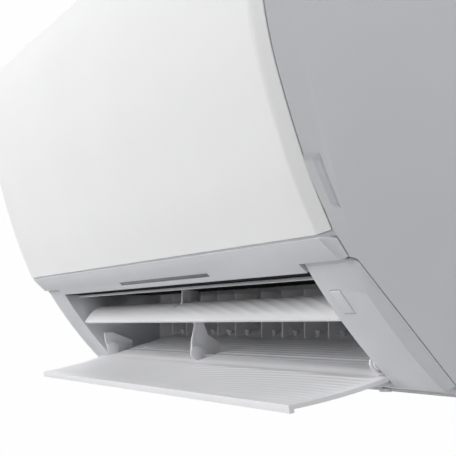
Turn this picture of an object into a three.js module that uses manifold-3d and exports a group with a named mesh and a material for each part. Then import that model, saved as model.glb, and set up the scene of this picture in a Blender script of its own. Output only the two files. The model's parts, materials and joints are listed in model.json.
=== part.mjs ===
// Wall-mounted mini split indoor unit: a white front panel over a grey body, with the
// air outlet open underneath and two horizontal vanes in front of a row of upright ones.
//
// Millimetres, +Z up. The back of the wall plate lies at Y = 0 and the front faces -Y.
// +X is the right-hand side for someone who looks at the front. The origin is the middle
// of the wall plate's back face. Profiles are drawn as [F, H] pairs: F is the distance
// out from the wall (-Y) and H the height above the underside of the unit.

import * as THREE from "three";
import { mergeVertices } from "three/addons/utils/BufferGeometryUtils.js";
import Module from "manifold-3d";

const wasm = await Module();
wasm.setup();

// ---------------------------------------------------------------- driving dimensions

// The whole unit
const UNIT_WIDTH = 870;
const UNIT_HEIGHT = 295;
const UNIT_DEPTH = 255;
const WALL = 2.5; // moulded plastic wall
const GAP = 0.4; // clearance between pieces that touch on the real unit
const REAR_CLEARANCE = 0.5; // the body's rim stands this far off the wall

// Front panel
const PANEL_WALL = 3;
const PANEL_EDGE_INSET = 7; // the flat face ends this far in from each side
const PANEL_RIM_DEPTH = 7.2; // depth of the slanted rim between face and side
const PANEL_EDGE_THICKNESS = 0.8; // the rim thins out to this at the side
const PANEL_BOTTOM_F = 214.6;
const PANEL_BOTTOM_H = 85.3;
const PANEL_TOP_ROOM = 29; // the panel's top edge lies this far behind its belly
// Shares of the panel's height, and of the way from its bottom edge out to the full depth
const PANEL_BOW = [
  [0, 0],
  [0.17, 0.366],
  [0.4106, 0.755],
  [0.5803, 0.928],
  [0.7377, 1],
];
// and above that, of the way from its top edge out to the full depth
const PANEL_BROW = [
  [0.857, 0.952],
  [0.957, 0.724],
  [0.9952, 0.379],
  [1, 0],
];
const PANEL_HINGE_ROOM = 21; // hinge axis behind the panel's top edge
const PANEL_HINGE_DROP = 12; // hinge axis below the top of the unit
const PANEL_ARM_X = 421;
const PANEL_ARM_WIDTH = 5;
const PANEL_ARM_DROP = 18; // the arm's root on the panel reaches this far below the hinge
const PANEL_PIN_RADIUS = 3;
const PANEL_PIN_LENGTH = 5;

// Body shell
const SIDE_WALL = 3;
const FRAME_WALL = 3; // the frame behind the panel
const TOP_FRONT_ROOM = 3.4; // the body's top ends this far behind the panel's
const SIDE_TOE_INSET = 11.6; // the side's lower front corner, from the face's toe
const SIDE_TOE_RISE = 1;
const WINDOW_RISE = 14.7; // windows in the frame, above the panel's bottom edge
const WINDOW_DROP = 18; // and below its hinge
const GRILLE_SLOT_COUNT = 10;
const GRILLE_ROW_COUNT = 3;
const GRILLE_BAR = 7;
const GRILLE_REAR_F = 42;
const GRILLE_FRONT_ROOM = 32.6; // the grille's front end behind the body's top edge
const FRONT_BAR_COUNT = 5;
const FRONT_BAR_WIDTH = 7;
const NOTCH_LOW = 99; // finger notch beside the panel, lower and upper end
const NOTCH_HIGH = 127;
const NOTCH_WIDTH = 9;
const NOTCH_DEPTH = 5;

// Outlet
const OPENING_HALF = 360;
const CEILING_H = 68;
const CEILING_REAR_F = 112;
const CEILING_THICKNESS = 2.7;
const FACE_TOP_F = 198.6; // the cheek's front face, an arc from top to toe
const FACE_TOP_H = 74;
const FACE_TOE_F = 144.6;
const FACE_TOE_H = 5;
const FACE_BULGE = 2.6;
const CHEEK_REAR_F = 104;
const CHEEK_RIM_INSET = 7;
const CHEEK_RIM_TOP = 3; // how far the rim slants in at the side, at the top and the toe
const CHEEK_RIM_TOE = 5.4;
const CHEEK_RIM_START = 0.02; // share of the seam above the rim's upper end
const BELLY_F = 95; // where the underside becomes level
const BELLY_END_H = 1.9; // underside of the outlet frame at its rear end
const CHASSIS_FRONT_F = 118;
const FLOOR_LIP_F = 137.4;
const FLOOR_LIP_H = 17.6;
const FLOOR_SLOPE = 0.289; // rise of the duct floor per millimetre towards the wall
const FLOOR_REAR_F = 91.6;
const LIP_RADIUS = 13; // hollow in the lip, around the lower vane's pivot
const STRIP_BOTTOM_F = 196.3;
const STRIP_SHY = 1.4; // the strip's top edge stands this far back from the panel's
const STRIP_SIDE_LOW_F = 198.6; // the strip's slanted edge where it meets the side
const STRIP_SIDE_LOW_H = 74.7;
const STRIP_SIDE_HIGH_F = 204.8;
const STRIP_SIDE_HIGH_H = 84.3;
const LEDGE_SHARE = 0.3; // above the cheeks the strip starts this far up its slope
const RAIL_F = 180;
const RAIL_WIDTH = 3.2;
const RAIL_HEIGHT = 2;

// Lower vane
const LOWER_PIVOT_F = 151;
const LOWER_PIVOT_H = 18.5;
const LOWER_OPEN_DEG = 67.5; // how far the vane stands open from its shut position
const LOWER_OVERLAP = 15; // the vane's wide part covers this much of each cheek
const VANE_END_ROOM = 3; // both vanes turn inside the opening with this room at each end
const LOWER_THICKNESS = 2.6;
const LOWER_LIP = 4.6;
const LOWER_FACETS = 6;
const LOWER_TOP_SHARE = 0.094; // places along the cheek's face when the vane is shut
const LOWER_LIP_SHARE = 0.03;
const LOWER_WIDE_SHARE = 0.765;
const LOWER_NECK_SHARE = 0.85;
const LOWER_TOE_SHARE = 0.95;
const LOWER_SHUT_PROUD = 0.6; // shut, it lies this far in front of the cheeks
const LOWER_PIN_RADIUS = 1.5;
const LOWER_LUG_RADIUS = 4.1;
const LOWER_EAR_RADIUS = 5.6;

// Upper vane
const UPPER_PIVOT_F = 158;
const UPPER_PIVOT_H = 53;
const UPPER_FRONT_REACH = 18;
const UPPER_REAR_REACH = 19;
const UPPER_THICKNESS = 2;
const UPPER_SEAT = 3.5; // the vane's level part above its pivot
const UPPER_BEND = -2.3; // the vane bends down from here on, measured from its pivot
const UPPER_DROP = 14.2; // front edge below the level part
const UPPER_CURL = 2.6; // how late the bend comes
const UPPER_STEPS = 9;
const UPPER_PIN_RADIUS = 2.2;
const UPPER_LUG_RADIUS = 4.6;
const UPPER_BOSS_RADIUS = 5.2;
const UPPER_BOSS_HEIGHT = 2;

// Stays that carry the vanes
const STAY_THICKNESS = 3;
const STAY_MIDDLE_X = -48;
const STAY_END_ROOM = 7; // middle of an end stay to the outlet's side
const EAR_THICKNESS = 2.2;

// Upright vanes
const UPRIGHT_PITCH = 53;
const UPRIGHT_RIGHT_FIRST_X = -46;
const UPRIGHT_RIGHT_COUNT = 8;
const UPRIGHT_LEFT_FIRST_X = -332;
const UPRIGHT_LEFT_COUNT = 5;
const UPRIGHT_PIVOT_F = 88;
const UPRIGHT_FRONT_F = 99;
const UPRIGHT_REAR_F = 69;
const UPRIGHT_TOP_H = 66;
const UPRIGHT_THICKNESS = 1.6;
const UPRIGHT_FLOOR_CLEARANCE = 1.6;
const UPRIGHT_REAR_RISE = 6.5;
const UPRIGHT_PIN_RADIUS = 1.8;
const UPRIGHT_PIN_LENGTH = 3.6;
const ROD_F = 75;
const ROD_WIDTH = 5.5;
const ROD_THICKNESS = 2.4;
const ROD_PIN_RADIUS = 1.2;
const ROD_DROP = 7.5; // the notch for the rod below an upright vane's top

// Fan
const FAN_F = 100;
const FAN_H = 122;
const FAN_RADIUS = 46;
const FAN_END_ROOM = 10; // fan end to the outlet's side
const FAN_BLADE_COUNT = 16;
const FAN_BLADE_DEPTH = 10;
const FAN_BLADE_THICKNESS = 1.4;
const FAN_BLADE_LEAN_DEG = 12;
const FAN_RING_COUNT = 5;
const FAN_RING_THICKNESS = 3;
const FAN_RING_SIDES = 32;
const FAN_STUB_RADIUS = 4;
const FAN_HUB_LENGTH = 20;
const MOTOR_RADIUS = 38;
const MOTOR_LENGTH = 50;
const MOTOR_NOSE = 3.5;
const MOTOR_NOSE_RADIUS = 14;
const BRACKET_INSET = 15;
const MOTOR_SHAFT_RADIUS = 4;
const BEARING_RADIUS = 10;
const SCROLL_START_DEG = 150;
const SCROLL_END_DEG = 264;
const SCROLL_START_RADIUS = 51;
const SCROLL_STEP_DEG = 9.5;
const WEB_DEG = 230; // where the web under the fan housing meets it
const GUTTER_DEPTH = 26;

// Heat exchanger
const COIL_END_ROOM = 16;
const COIL_THICKNESS = 26;
const COIL_REAR_THICKNESS = 22;
const COIL_FOOT_F = 190;
const COIL_FOOT_H = 100;
const COIL_SHOULDER_ROOM = 33; // the lower slab's upper end, behind the panel's belly
const COIL_SHOULDER_H = 192;
const COIL_TOP_F = 143.2; // the upper slab ends here, this far below the top of the unit
const COIL_TOP_DROP = 29.6;
const COIL_TAIL_F = 64.4; // lower end of the rear slab
const COIL_TAIL_H = 189.5;
const COIL_STEP = 16.9; // the upper slab stands out this far over the lower one
const TUBE_RADIUS = 3.5;
const TUBE_PITCH = 21;
const TUBE_SIDES = 6;

// Drain pan
const PAN_FRONT_ROOM = 12;
const PAN_SLOPE = 9;
const PAN_NOSE_F = 142;
const PAN_NOSE_RISE = 15;
const PAN_RIB_X = 170;
const PAN_END_RISE = 20;
const SPOUT_RADIUS = 4;
const SPOUT_LENGTH = 10;

// Pipes
const GAS_PIPE_RADIUS = 4.8;
const LIQUID_PIPE_RADIUS = 3.2;
const GAS_PIPE_F = 22;
const GAS_PIPE_H = 30;
const LIQUID_PIPE_F = 36;
const LIQUID_PIPE_H = 15;
const PIPE_END_X = 150;
const PIPE_STEPS = 36;
const NUT_LENGTH = 22;

// Filters
const FILTER_THICKNESS = 2.4;
const FILTER_FRAME = 9;
const FILTER_RIB_COUNT = 3;
const FILTER_END_ROOM = 8;
const FILTER_SHOULDER = 12; // the filter turns back over the coil this far below the hinge
const FILTER_MIDDLE_GAP = 6;

// Wall plate
const PLATE_WIDTH = 720;
const PLATE_HEIGHT = 220;
const PLATE_MIDDLE_H = 150;
const PLATE_THICKNESS = 1.5;
const PLATE_HOOK_WIDTH = 26;
const PLATE_HOOK_X = 210;
const PLATE_HOOK_HEIGHT = 14;
const PLATE_HOLE_RADIUS = 4;
const PLATE_HOLES = 4;
const PLATE_EDGE = 14; // holes from the plate's edges

// Electrics in the right-hand bay
const BAY_GAP = 4;
const BOX_F = 148;
const BOX_FRONT_ROOM = 15; // the box's front behind the frame, at the box's foot
const BOX_H = 112;
const BOX_HEIGHT = 104;
const BOX_WALL = 2;
const BOX_ARM_HEIGHT = 20;
const BOARD_THICKNESS = 1.6;
const TERMINAL_DEPTH = 16;
const TERMINAL_HEIGHT = 18;
const TERMINAL_WAYS = 4;

// Vane motors, push button and screws
const STEPPER_RADIUS = 9.3;
const STEPPER_LENGTH = 17;
const STEPPER_OFFSET = 8; // output shaft off the centre of the motor
const STEPPER_NOSE_WALL = 1;
const PIN_IN_MOTOR = 6;
const BUTTON_X = 383;
const BUTTON_WIDTH = 17;
const BUTTON_LENGTH = 15;
const BUTTON_ALONG = 0.3; // place along the cheek's face, from its top
const BUTTON_PROUD = 0.5;
const BUTTON_FLANGE = 1.5;
const SCREW_HEAD_RADIUS = 3.6;
const SCREW_HEAD = 1.8;
const SCREW_SHANK_RADIUS = 1.8;
const SCREW_X = 300;
const SCREW_F = 128;
const SCREW_LENGTH = 12;
const SCREW_BOSS_RADIUS = 4.5;

// Indicator strip
const LENS_X = 37;
const LENS_LENGTH = 264;
const LENS_WIDTH = 2.6;
const LENS_SUNK = 0.4;
const LENS_SHARE = 0.25; // place on the strip's slope, from its lower edge

// ---------------------------------------------------------------- derived places

const HALF_WIDTH = UNIT_WIDTH / 2;
const PANEL_TOP_F = UNIT_DEPTH - PANEL_TOP_ROOM;
const PANEL_HINGE_F = PANEL_TOP_F - PANEL_HINGE_ROOM;
const PANEL_HINGE_H = UNIT_HEIGHT - PANEL_HINGE_DROP;
const TOP_FRONT_F = PANEL_TOP_F - TOP_FRONT_ROOM;
const GRILLE_FRONT_F = TOP_FRONT_F - GRILLE_FRONT_ROOM;
const SIDE_INNER = HALF_WIDTH - SIDE_WALL;
const END_WALL_OUTER = OPENING_HALF + WALL;
const FAN_HALF = OPENING_HALF - FAN_END_ROOM;
const COIL_HALF = OPENING_HALF - COIL_END_ROOM;
const FILTER_HALF = OPENING_HALF - FILTER_END_ROOM;
const LOWER_HALF = OPENING_HALF + LOWER_OVERLAP;
const LOWER_NECK_HALF = OPENING_HALF - VANE_END_ROOM;
const UPPER_HALF = LOWER_NECK_HALF;
const STAY_END_X = OPENING_HALF - STAY_END_ROOM;
const PLATE_REAR_GAP = PLATE_THICKNESS + GAP;
const CHASSIS_REAR_F = PLATE_REAR_GAP;
const CHASSIS_BACK_F = CHASSIS_REAR_F + WALL;
const SHUT_ANGLE = THREE.MathUtils.degToRad(LOWER_OPEN_DEG);
const floorHeight = (f) => FLOOR_LIP_H + (FLOOR_LIP_F - f) * FLOOR_SLOPE;

// ---------------------------------------------------------------- materials

const finish = (color, roughness, metalness = 0) =>
  new THREE.MeshStandardMaterial({ color, roughness, metalness });

const FINISH = {
  panel: finish(0xf1f2f3, 0.28),
  body: finish(0xb3b6ba, 0.5),
  trim: finish(0xd5d6d8, 0.45),
  vane: finish(0xdcdcde, 0.42),
  upright: finish(0x8d8d92, 0.55),
  dark: finish(0x1c1c1e, 0.6),
  chassis: finish(0xc4c4c6, 0.6),
  foam: finish(0xe6e6e2, 0.9),
  steel: finish(0x9aa0a4, 0.45, 0.9),
  aluminium: finish(0xb9bfc3, 0.4, 0.9),
  copper: finish(0xb66a3c, 0.35, 1),
  brass: finish(0xc2a258, 0.35, 1),
  board: finish(0x1f5b33, 0.5),
  lens: finish(0x4a4d52, 0.15),
  rubber: finish(0x242424, 0.9),
  filter: finish(0x55595e, 0.8),
};

// ---------------------------------------------------------------- shape helpers

// A closed BufferGeometry as a solid that can be joined and cut.
function solidOf(geometry) {
  const bare = geometry.index ? geometry.toNonIndexed() : geometry.clone();
  bare.deleteAttribute("normal");
  bare.deleteAttribute("uv");
  const merged = mergeVertices(bare, 1e-4);
  return new wasm.Manifold(
    new wasm.Mesh({
      numProp: 3,
      vertProperties: new Float32Array(merged.attributes.position.array),
      triVerts: new Uint32Array(merged.index.array),
    }),
  );
}

// The solid's surface as a BufferGeometry.
function geometryOf(solid) {
  const mesh = solid.getMesh();
  const geometry = new THREE.BufferGeometry();
  geometry.setAttribute("position", new THREE.BufferAttribute(mesh.vertProperties, 3));
  geometry.setIndex(new THREE.BufferAttribute(mesh.triVerts, 1));
  geometry.computeVertexNormals();
  return geometry;
}

const join = (first, ...others) => others.reduce((sum, next) => sum.add(next), first);
const cut = (first, ...others) => others.reduce((rest, next) => rest.subtract(next), first);

// A side profile of [F, H] points carried along X.
function prism(points, xFrom, xTo) {
  const shape = new THREE.Shape(points.map(([f, h]) => new THREE.Vector2(-f, h)));
  const geometry = new THREE.ExtrudeGeometry(shape, { depth: xTo - xFrom, bevelEnabled: false });
  const basis = new THREE.Matrix4().makeBasis(
    new THREE.Vector3(0, 1, 0),
    new THREE.Vector3(0, 0, 1),
    new THREE.Vector3(1, 0, 0),
  );
  geometry.applyMatrix4(basis);
  geometry.translate(xFrom, 0, 0);
  return solidOf(geometry);
}

// A box between two corners, with its depth given as distances from the wall.
function block(x0, x1, f0, f1, h0, h1) {
  const geometry = new THREE.BoxGeometry(Math.abs(x1 - x0), f1 - f0, h1 - h0);
  geometry.translate((x0 + x1) / 2, -(f0 + f1) / 2, (h0 + h1) / 2);
  return solidOf(geometry);
}

// A round bar from xFrom to xTo.
function barAlongX(f, h, radius, xFrom, xTo, sides = 14) {
  const geometry = new THREE.CylinderGeometry(radius, radius, Math.abs(xTo - xFrom), sides);
  geometry.rotateZ(Math.PI / 2);
  geometry.translate((xFrom + xTo) / 2, -f, h);
  return solidOf(geometry);
}

// A round bar that stands upright.
function barUpright(x, f, radius, hFrom, hTo, sides = 10) {
  const geometry = new THREE.CylinderGeometry(radius, radius, hTo - hFrom, sides);
  geometry.rotateX(Math.PI / 2);
  geometry.translate(x, -f, (hFrom + hTo) / 2);
  return solidOf(geometry);
}

// A round bar that points at the wall.
function barAlongF(x, h, radius, fFrom, fTo, sides = 16) {
  const geometry = new THREE.CylinderGeometry(radius, radius, fTo - fFrom, sides);
  geometry.translate(x, -(fFrom + fTo) / 2, h);
  return solidOf(geometry);
}

// Closed profiles with the same number of points, one for each X, joined to one skin.
function loft(given) {
  const first = given[0].points.map(([f, h]) => new THREE.Vector2(f, h));
  const backwards = THREE.ShapeUtils.isClockWise(first);
  const stations = given.map(({ x, points }) => ({
    x,
    points: backwards ? points.slice().reverse() : points,
  }));
  const count = first.length;
  const positions = [];
  const at = (station, index) => {
    const [f, h] = station.points[index % count];
    return [station.x, -f, h];
  };
  const quad = (a, b, c, d) => positions.push(...a, ...b, ...c, ...a, ...c, ...d);
  for (let s = 0; s + 1 < stations.length; s++)
    for (let i = 0; i < count; i++)
      quad(
        at(stations[s], i),
        at(stations[s + 1], i),
        at(stations[s + 1], i + 1),
        at(stations[s], i + 1),
      );
  const cap = (station, flip) => {
    const flat = station.points.map(([f, h]) => new THREE.Vector2(f, h));
    for (const [a, b, c] of THREE.ShapeUtils.triangulateShape(flat, [])) {
      const corners = [at(station, a), at(station, b), at(station, c)];
      positions.push(...(flip ? corners.reverse() : corners).flat());
    }
  };
  cap(stations[0], false);
  cap(stations.at(-1), true);
  const geometry = new THREE.BufferGeometry();
  geometry.setAttribute("position", new THREE.Float32BufferAttribute(positions, 3));
  return solidOf(geometry);
}

// A tube of the given radius along a smooth path through [X, F, H] points.
function pipe(points, radius, steps, sides) {
  const path = new THREE.CatmullRomCurve3(
    points.map(([x, f, h]) => new THREE.Vector3(x, -f, h)),
    false,
    "centripetal",
  );
  const ring = [];
  for (let i = 0; i < sides; i++) {
    const angle = (i / sides) * 2 * Math.PI;
    ring.push(new THREE.Vector2(radius * Math.cos(angle), radius * Math.sin(angle)));
  }
  const geometry = new THREE.ExtrudeGeometry(new THREE.Shape(ring), {
    steps,
    extrudePath: path,
    bevelEnabled: false,
  });
  return solidOf(geometry);
}

// Points moved sideways by a distance, to the left of the direction they run in.
function offsetLine(points, distance) {
  return points.map(([f, h], i) => {
    const [f0, h0] = points[Math.max(i - 1, 0)];
    const [f1, h1] = points[Math.min(i + 1, points.length - 1)];
    const length = Math.hypot(f1 - f0, h1 - h0);
    return [f - ((h1 - h0) / length) * distance, h + ((f1 - f0) / length) * distance];
  });
}

// A strip of even thickness to the left of a line, as a closed profile.
function stripProfile(points, near, far) {
  return [...offsetLine(points, near), ...offsetLine(points, far).reverse()];
}

// The part of a rising line between two heights, with new ends at those heights and none of
// its own points close to them. A height beyond the line lies on its end carried on straight.
function between(line, low, high) {
  const last = line.length - 1;
  const at = (height) => {
    const above = line.findIndex(([, h], i) => i > 0 && h > height);
    const i = above < 0 ? last : above;
    const [[f0, h0], [f1, h1]] = [line[i - 1], line[i]];
    return [f0 + ((f1 - f0) * (height - h0)) / (h1 - h0), height];
  };
  const inner = line.filter(([, h]) => h > low + WALL && h < high - WALL);
  return [at(low), ...inner, at(high)];
}

// A smooth line through a few points, as evenly spread [F, H] points.
function smoothLine(controls, count) {
  const curve = new THREE.SplineCurve(controls.map(([f, h]) => new THREE.Vector2(f, h)));
  return curve.getSpacedPoints(count).map((p) => [p.x, p.y]);
}

function mesh(name, solid, material) {
  const made = new THREE.Mesh(geometryOf(solid), material);
  made.name = name;
  return made;
}

// ---------------------------------------------------------------- outlines

// The panel's outer face from its bottom edge up to the edge on top of the unit.
function panelLine() {
  const rise = (share) => PANEL_BOTTOM_H + (UNIT_HEIGHT - PANEL_BOTTOM_H) * share;
  const front = PANEL_BOW.map(([height, belly]) => [
    PANEL_BOTTOM_F + (UNIT_DEPTH - PANEL_BOTTOM_F) * belly,
    rise(height),
  ]);
  const brow = PANEL_BROW.map(([height, belly]) => [
    PANEL_TOP_F + (UNIT_DEPTH - PANEL_TOP_F) * belly,
    rise(height),
  ]);
  return smoothLine([...front, ...brow], 21);
}

// Unit direction that points into the cheek, square to the chord of its face.
function faceInward() {
  const chordF = FACE_TOP_F - FACE_TOE_F;
  const chordH = FACE_TOP_H - FACE_TOE_H;
  const chord = Math.hypot(chordF, chordH);
  return [-chordH / chord, chordF / chord];
}

// A point on the cheek's front face, an arc, by its share of the way from top to toe.
function facePoint(share) {
  const [inF, inH] = faceInward();
  const bulge = 4 * FACE_BULGE * share * (1 - share);
  return [
    FACE_TOP_F + (FACE_TOE_F - FACE_TOP_F) * share - inF * bulge,
    FACE_TOP_H + (FACE_TOE_H - FACE_TOP_H) * share - inH * bulge,
  ];
}

// Points of the cheek's face between two shares of its length, from above to below.
function faceLine(from = 0, to = 1, count = 8) {
  const points = [];
  for (let i = 0; i <= count; i++) points.push(facePoint(from + ((to - from) * i) / count));
  return points;
}

// Upper and lower end of the seam between the cheek's rim and the side.
function cheekSeam() {
  const [inF, inH] = faceInward();
  return [
    [FACE_TOP_F + CHEEK_RIM_TOP * (inF - inH), FACE_TOP_H + CHEEK_RIM_TOP * (inH + inF)],
    [FACE_TOE_F + CHEEK_RIM_TOE * inF, FACE_TOE_H + CHEEK_RIM_TOE * inH],
  ];
}

// A point of the fan housing's spiral at an angle from level.
function scrollPoint(degrees, extra = 0) {
  const share = (degrees - SCROLL_START_DEG) / (SCROLL_END_DEG - SCROLL_START_DEG);
  const endRadius = Math.hypot(FAN_F - FLOOR_REAR_F, FAN_H - floorHeight(FLOOR_REAR_F));
  const radius =
    SCROLL_START_RADIUS + (endRadius - SCROLL_START_RADIUS) * Math.pow(share, 1.3) + extra;
  const angle = THREE.MathUtils.degToRad(degrees);
  return [FAN_F + radius * Math.cos(angle), FAN_H + radius * Math.sin(angle)];
}

// ---------------------------------------------------------------- casing

// The front panel: a glossy curved face whose ends slant back to the seam, with an arm
// and a pin at each end that carry it in the body.
function frontPanel() {
  const outer = panelLine();
  const faceLoop = [...outer, ...offsetLine(outer, PANEL_WALL).reverse()];
  const rimLoop = [
    ...offsetLine(outer, PANEL_RIM_DEPTH - PANEL_EDGE_THICKNESS),
    ...offsetLine(outer, PANEL_RIM_DEPTH).reverse(),
  ];
  const faceHalf = HALF_WIDTH - PANEL_EDGE_INSET;
  const skin = loft([
    { x: -HALF_WIDTH, points: rimLoop },
    { x: -faceHalf, points: faceLoop },
    { x: faceHalf, points: faceLoop },
    { x: HALF_WIDTH, points: rimLoop },
  ]);
  const sunk = between(
    offsetLine(outer, PANEL_WALL / 2),
    PANEL_HINGE_H - PANEL_ARM_DROP,
    PANEL_HINGE_H + PANEL_PIN_RADIUS,
  );
  const eye = PANEL_PIN_RADIUS * 2;
  const armProfile = [
    [PANEL_HINGE_F, PANEL_HINGE_H + eye],
    [PANEL_HINGE_F - eye, PANEL_HINGE_H],
    [PANEL_HINGE_F, PANEL_HINGE_H - eye],
    ...sunk,
  ];
  const arms = [-1, 1].flatMap((side) => {
    const inner = side * PANEL_ARM_X;
    const outside = side * (PANEL_ARM_X + PANEL_ARM_WIDTH);
    return [
      prism(armProfile, Math.min(inner, outside), Math.max(inner, outside)),
      barAlongX(
        PANEL_HINGE_F,
        PANEL_HINGE_H,
        PANEL_PIN_RADIUS,
        side * (PANEL_ARM_X + PANEL_ARM_WIDTH / 2),
        side * (PANEL_ARM_X + PANEL_ARM_WIDTH + PANEL_PIN_LENGTH),
      ),
    ];
  });
  return mesh("front_panel", join(skin, ...arms), FINISH.panel);
}

// One side of the body in outline, with its top edge at the given height.
function bodyOutline(topH) {
  const front = offsetLine(panelLine(), PANEL_RIM_DEPTH + GAP);
  const [seamTop, seamToe] = cheekSeam();
  return [
    [REAR_CLEARANCE, 0],
    [BELLY_F, 0],
    [FACE_TOE_F - SIDE_TOE_INSET, SIDE_TOE_RISE],
    seamToe,
    seamTop,
    [STRIP_SIDE_LOW_F, STRIP_SIDE_LOW_H],
    [STRIP_SIDE_HIGH_F, STRIP_SIDE_HIGH_H],
    ...front.slice(0, -1),
    [TOP_FRONT_F, front.at(-1)[1]],
    [TOP_FRONT_F, topH],
    [REAR_CLEARANCE, topH],
  ];
}

// The grey body: two sides, a top with its intake grille, and the frame behind the panel.
function bodyShell() {
  const rimHeight = UNIT_HEIGHT - PANEL_RIM_DEPTH;
  const faceHalf = HALF_WIDTH - PANEL_EDGE_INSET;
  const outer = loft([
    { x: -HALF_WIDTH, points: bodyOutline(rimHeight) },
    { x: -faceHalf, points: bodyOutline(UNIT_HEIGHT) },
    { x: faceHalf, points: bodyOutline(UNIT_HEIGHT) },
    { x: HALF_WIDTH, points: bodyOutline(rimHeight) },
  ]);
  const inside = offsetLine(panelLine(), PANEL_RIM_DEPTH + GAP + FRAME_WALL);
  const frameFoot = inside[0][1];
  const inner = inside.filter(([, h]) => h > frameFoot && h < UNIT_HEIGHT - SIDE_WALL);
  const ceiling = UNIT_HEIGHT - SIDE_WALL;
  const hollow = prism(
    [
      [-WALL, -WALL],
      [UNIT_DEPTH, -WALL],
      [UNIT_DEPTH, frameFoot],
      [inner[0][0], frameFoot],
      ...inner,
      [TOP_FRONT_F - FRAME_WALL, ceiling],
      [-WALL, ceiling],
    ],
    -SIDE_INNER,
    SIDE_INNER,
  );
  const bosses = [-1, 1].map((side) =>
    barAlongX(
      PANEL_HINGE_F,
      PANEL_HINGE_H,
      PANEL_PIN_RADIUS * 2,
      side * (PANEL_ARM_X + PANEL_ARM_WIDTH + GAP),
      side * (SIDE_INNER + GAP),
    ),
  );
  const pockets = [-1, 1].map((side) => {
    const inner = side * (HALF_WIDTH - NOTCH_DEPTH - WALL);
    return spanPrism(notchProfile(2 * GAP, WALL), inner, side * (HALF_WIDTH - SIDE_WALL / 2));
  });
  return mesh(
    "body_shell",
    cut(
      join(cut(outer, hollow, ...frameWindows(), ...armSlots()), ...bosses, ...pockets),
      ...grilleSlots(),
      ...pinHoles(),
      ...fingerNotches(),
    ),
    FINISH.body,
  );
}

// A side profile carried between two X values given in either order.
function spanPrism(points, xA, xB) {
  return prism(points, Math.min(xA, xB), Math.max(xA, xB));
}

function frameWindows() {
  const half = OPENING_HALF;
  const pitch = (2 * half + FRONT_BAR_WIDTH) / (FRONT_BAR_COUNT + 1);
  const windows = [];
  for (let i = 0; i <= FRONT_BAR_COUNT; i++) {
    const left = -half + i * pitch;
    windows.push(
      block(
        left,
        left + pitch - FRONT_BAR_WIDTH,
        GRILLE_FRONT_F,
        UNIT_DEPTH + WALL,
        PANEL_BOTTOM_H + WINDOW_RISE,
        PANEL_HINGE_H - WINDOW_DROP,
      ),
    );
  }
  return windows;
}

// The slots in the body's top edge that the panel's arms swing through.
function armSlots() {
  return [-1, 1].map((side) =>
    block(
      side * (PANEL_ARM_X - GAP * 3),
      side * (PANEL_ARM_X + PANEL_ARM_WIDTH + GAP),
      PANEL_HINGE_F - PANEL_PIN_RADIUS * 2 - WALL,
      UNIT_DEPTH + WALL,
      PANEL_HINGE_H - PANEL_ARM_DROP - WALL,
      UNIT_HEIGHT + WALL,
    ),
  );
}

function grilleSlots() {
  const half = OPENING_HALF;
  const pitchX = (2 * half + GRILLE_BAR) / GRILLE_SLOT_COUNT;
  const pitchF = (GRILLE_FRONT_F - GRILLE_REAR_F + GRILLE_BAR) / GRILLE_ROW_COUNT;
  const slots = [];
  for (let row = 0; row < GRILLE_ROW_COUNT; row++)
    for (let i = 0; i < GRILLE_SLOT_COUNT; i++) {
      const x = -half + i * pitchX;
      const f = GRILLE_REAR_F + row * pitchF;
      slots.push(
        block(
          x,
          x + pitchX - GRILLE_BAR,
          f,
          f + pitchF - GRILLE_BAR,
          UNIT_HEIGHT - 2 * SIDE_WALL,
          UNIT_HEIGHT + WALL,
        ),
      );
    }
  return slots;
}

function pinHoles() {
  return [-1, 1].map((side) =>
    barAlongX(
      PANEL_HINGE_F,
      PANEL_HINGE_H,
      PANEL_PIN_RADIUS + GAP,
      side * PANEL_ARM_X,
      side * (PANEL_ARM_X + PANEL_ARM_WIDTH + PANEL_PIN_LENGTH + GAP),
    ),
  );
}

// The finger notch beside the panel as a side profile. Its pocket's walls are its growth.
function notchProfile(near, grow) {
  const line = panelLine();
  const edge = (depth) =>
    between(offsetLine(line, PANEL_RIM_DEPTH + depth), NOTCH_LOW - grow, NOTCH_HIGH + grow);
  return [...edge(near), ...edge(NOTCH_WIDTH + grow).reverse()];
}

function fingerNotches() {
  return [-1, 1].map((side) =>
    spanPrism(notchProfile(-WALL, 0), side * (HALF_WIDTH - NOTCH_DEPTH), side * (HALF_WIDTH + WALL)),
  );
}

// The strip under the panel that carries the indicator lamps. Past the outlet its lower
// edge stops above the cheeks.
function displayStrip() {
  const line = stripLine();
  const ledge = [
    [
      line[0][0] + (line[1][0] - line[0][0]) * LEDGE_SHARE,
      line[0][1] + (line[1][1] - line[0][1]) * LEDGE_SHARE,
    ],
    line[1],
  ];
  const faceHalf = HALF_WIDTH - PANEL_EDGE_INSET;
  const side = [
    [STRIP_SIDE_LOW_F, STRIP_SIDE_LOW_H],
    [STRIP_SIDE_HIGH_F, STRIP_SIDE_HIGH_H],
  ];
  const rim = stripProfile(side, -GAP - PANEL_EDGE_THICKNESS, -GAP);
  const long = loft([
    { x: -HALF_WIDTH, points: rim },
    { x: -faceHalf, points: stripProfile(ledge, 0, WALL) },
    { x: faceHalf, points: stripProfile(ledge, 0, WALL) },
    { x: HALF_WIDTH, points: rim },
  ]);
  const middle = prism(stripProfile(line, 0, WALL), GAP - OPENING_HALF, OPENING_HALF - GAP);
  const slot = prism(
    stripProfile(lensLine(LENS_WIDTH + 2 * GAP), -WALL, 2 * WALL),
    LENS_X - LENS_LENGTH / 2 - GAP,
    LENS_X + LENS_LENGTH / 2 + GAP,
  );
  return mesh("display_strip", cut(join(long, middle), slot), FINISH.trim);
}

// The strip's outer face in side view, from its lower edge to its upper one.
const stripLine = () => [
  [STRIP_BOTTOM_F, CEILING_H],
  [PANEL_BOTTOM_F - STRIP_SHY, PANEL_BOTTOM_H - STRIP_SHY],
];

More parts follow.
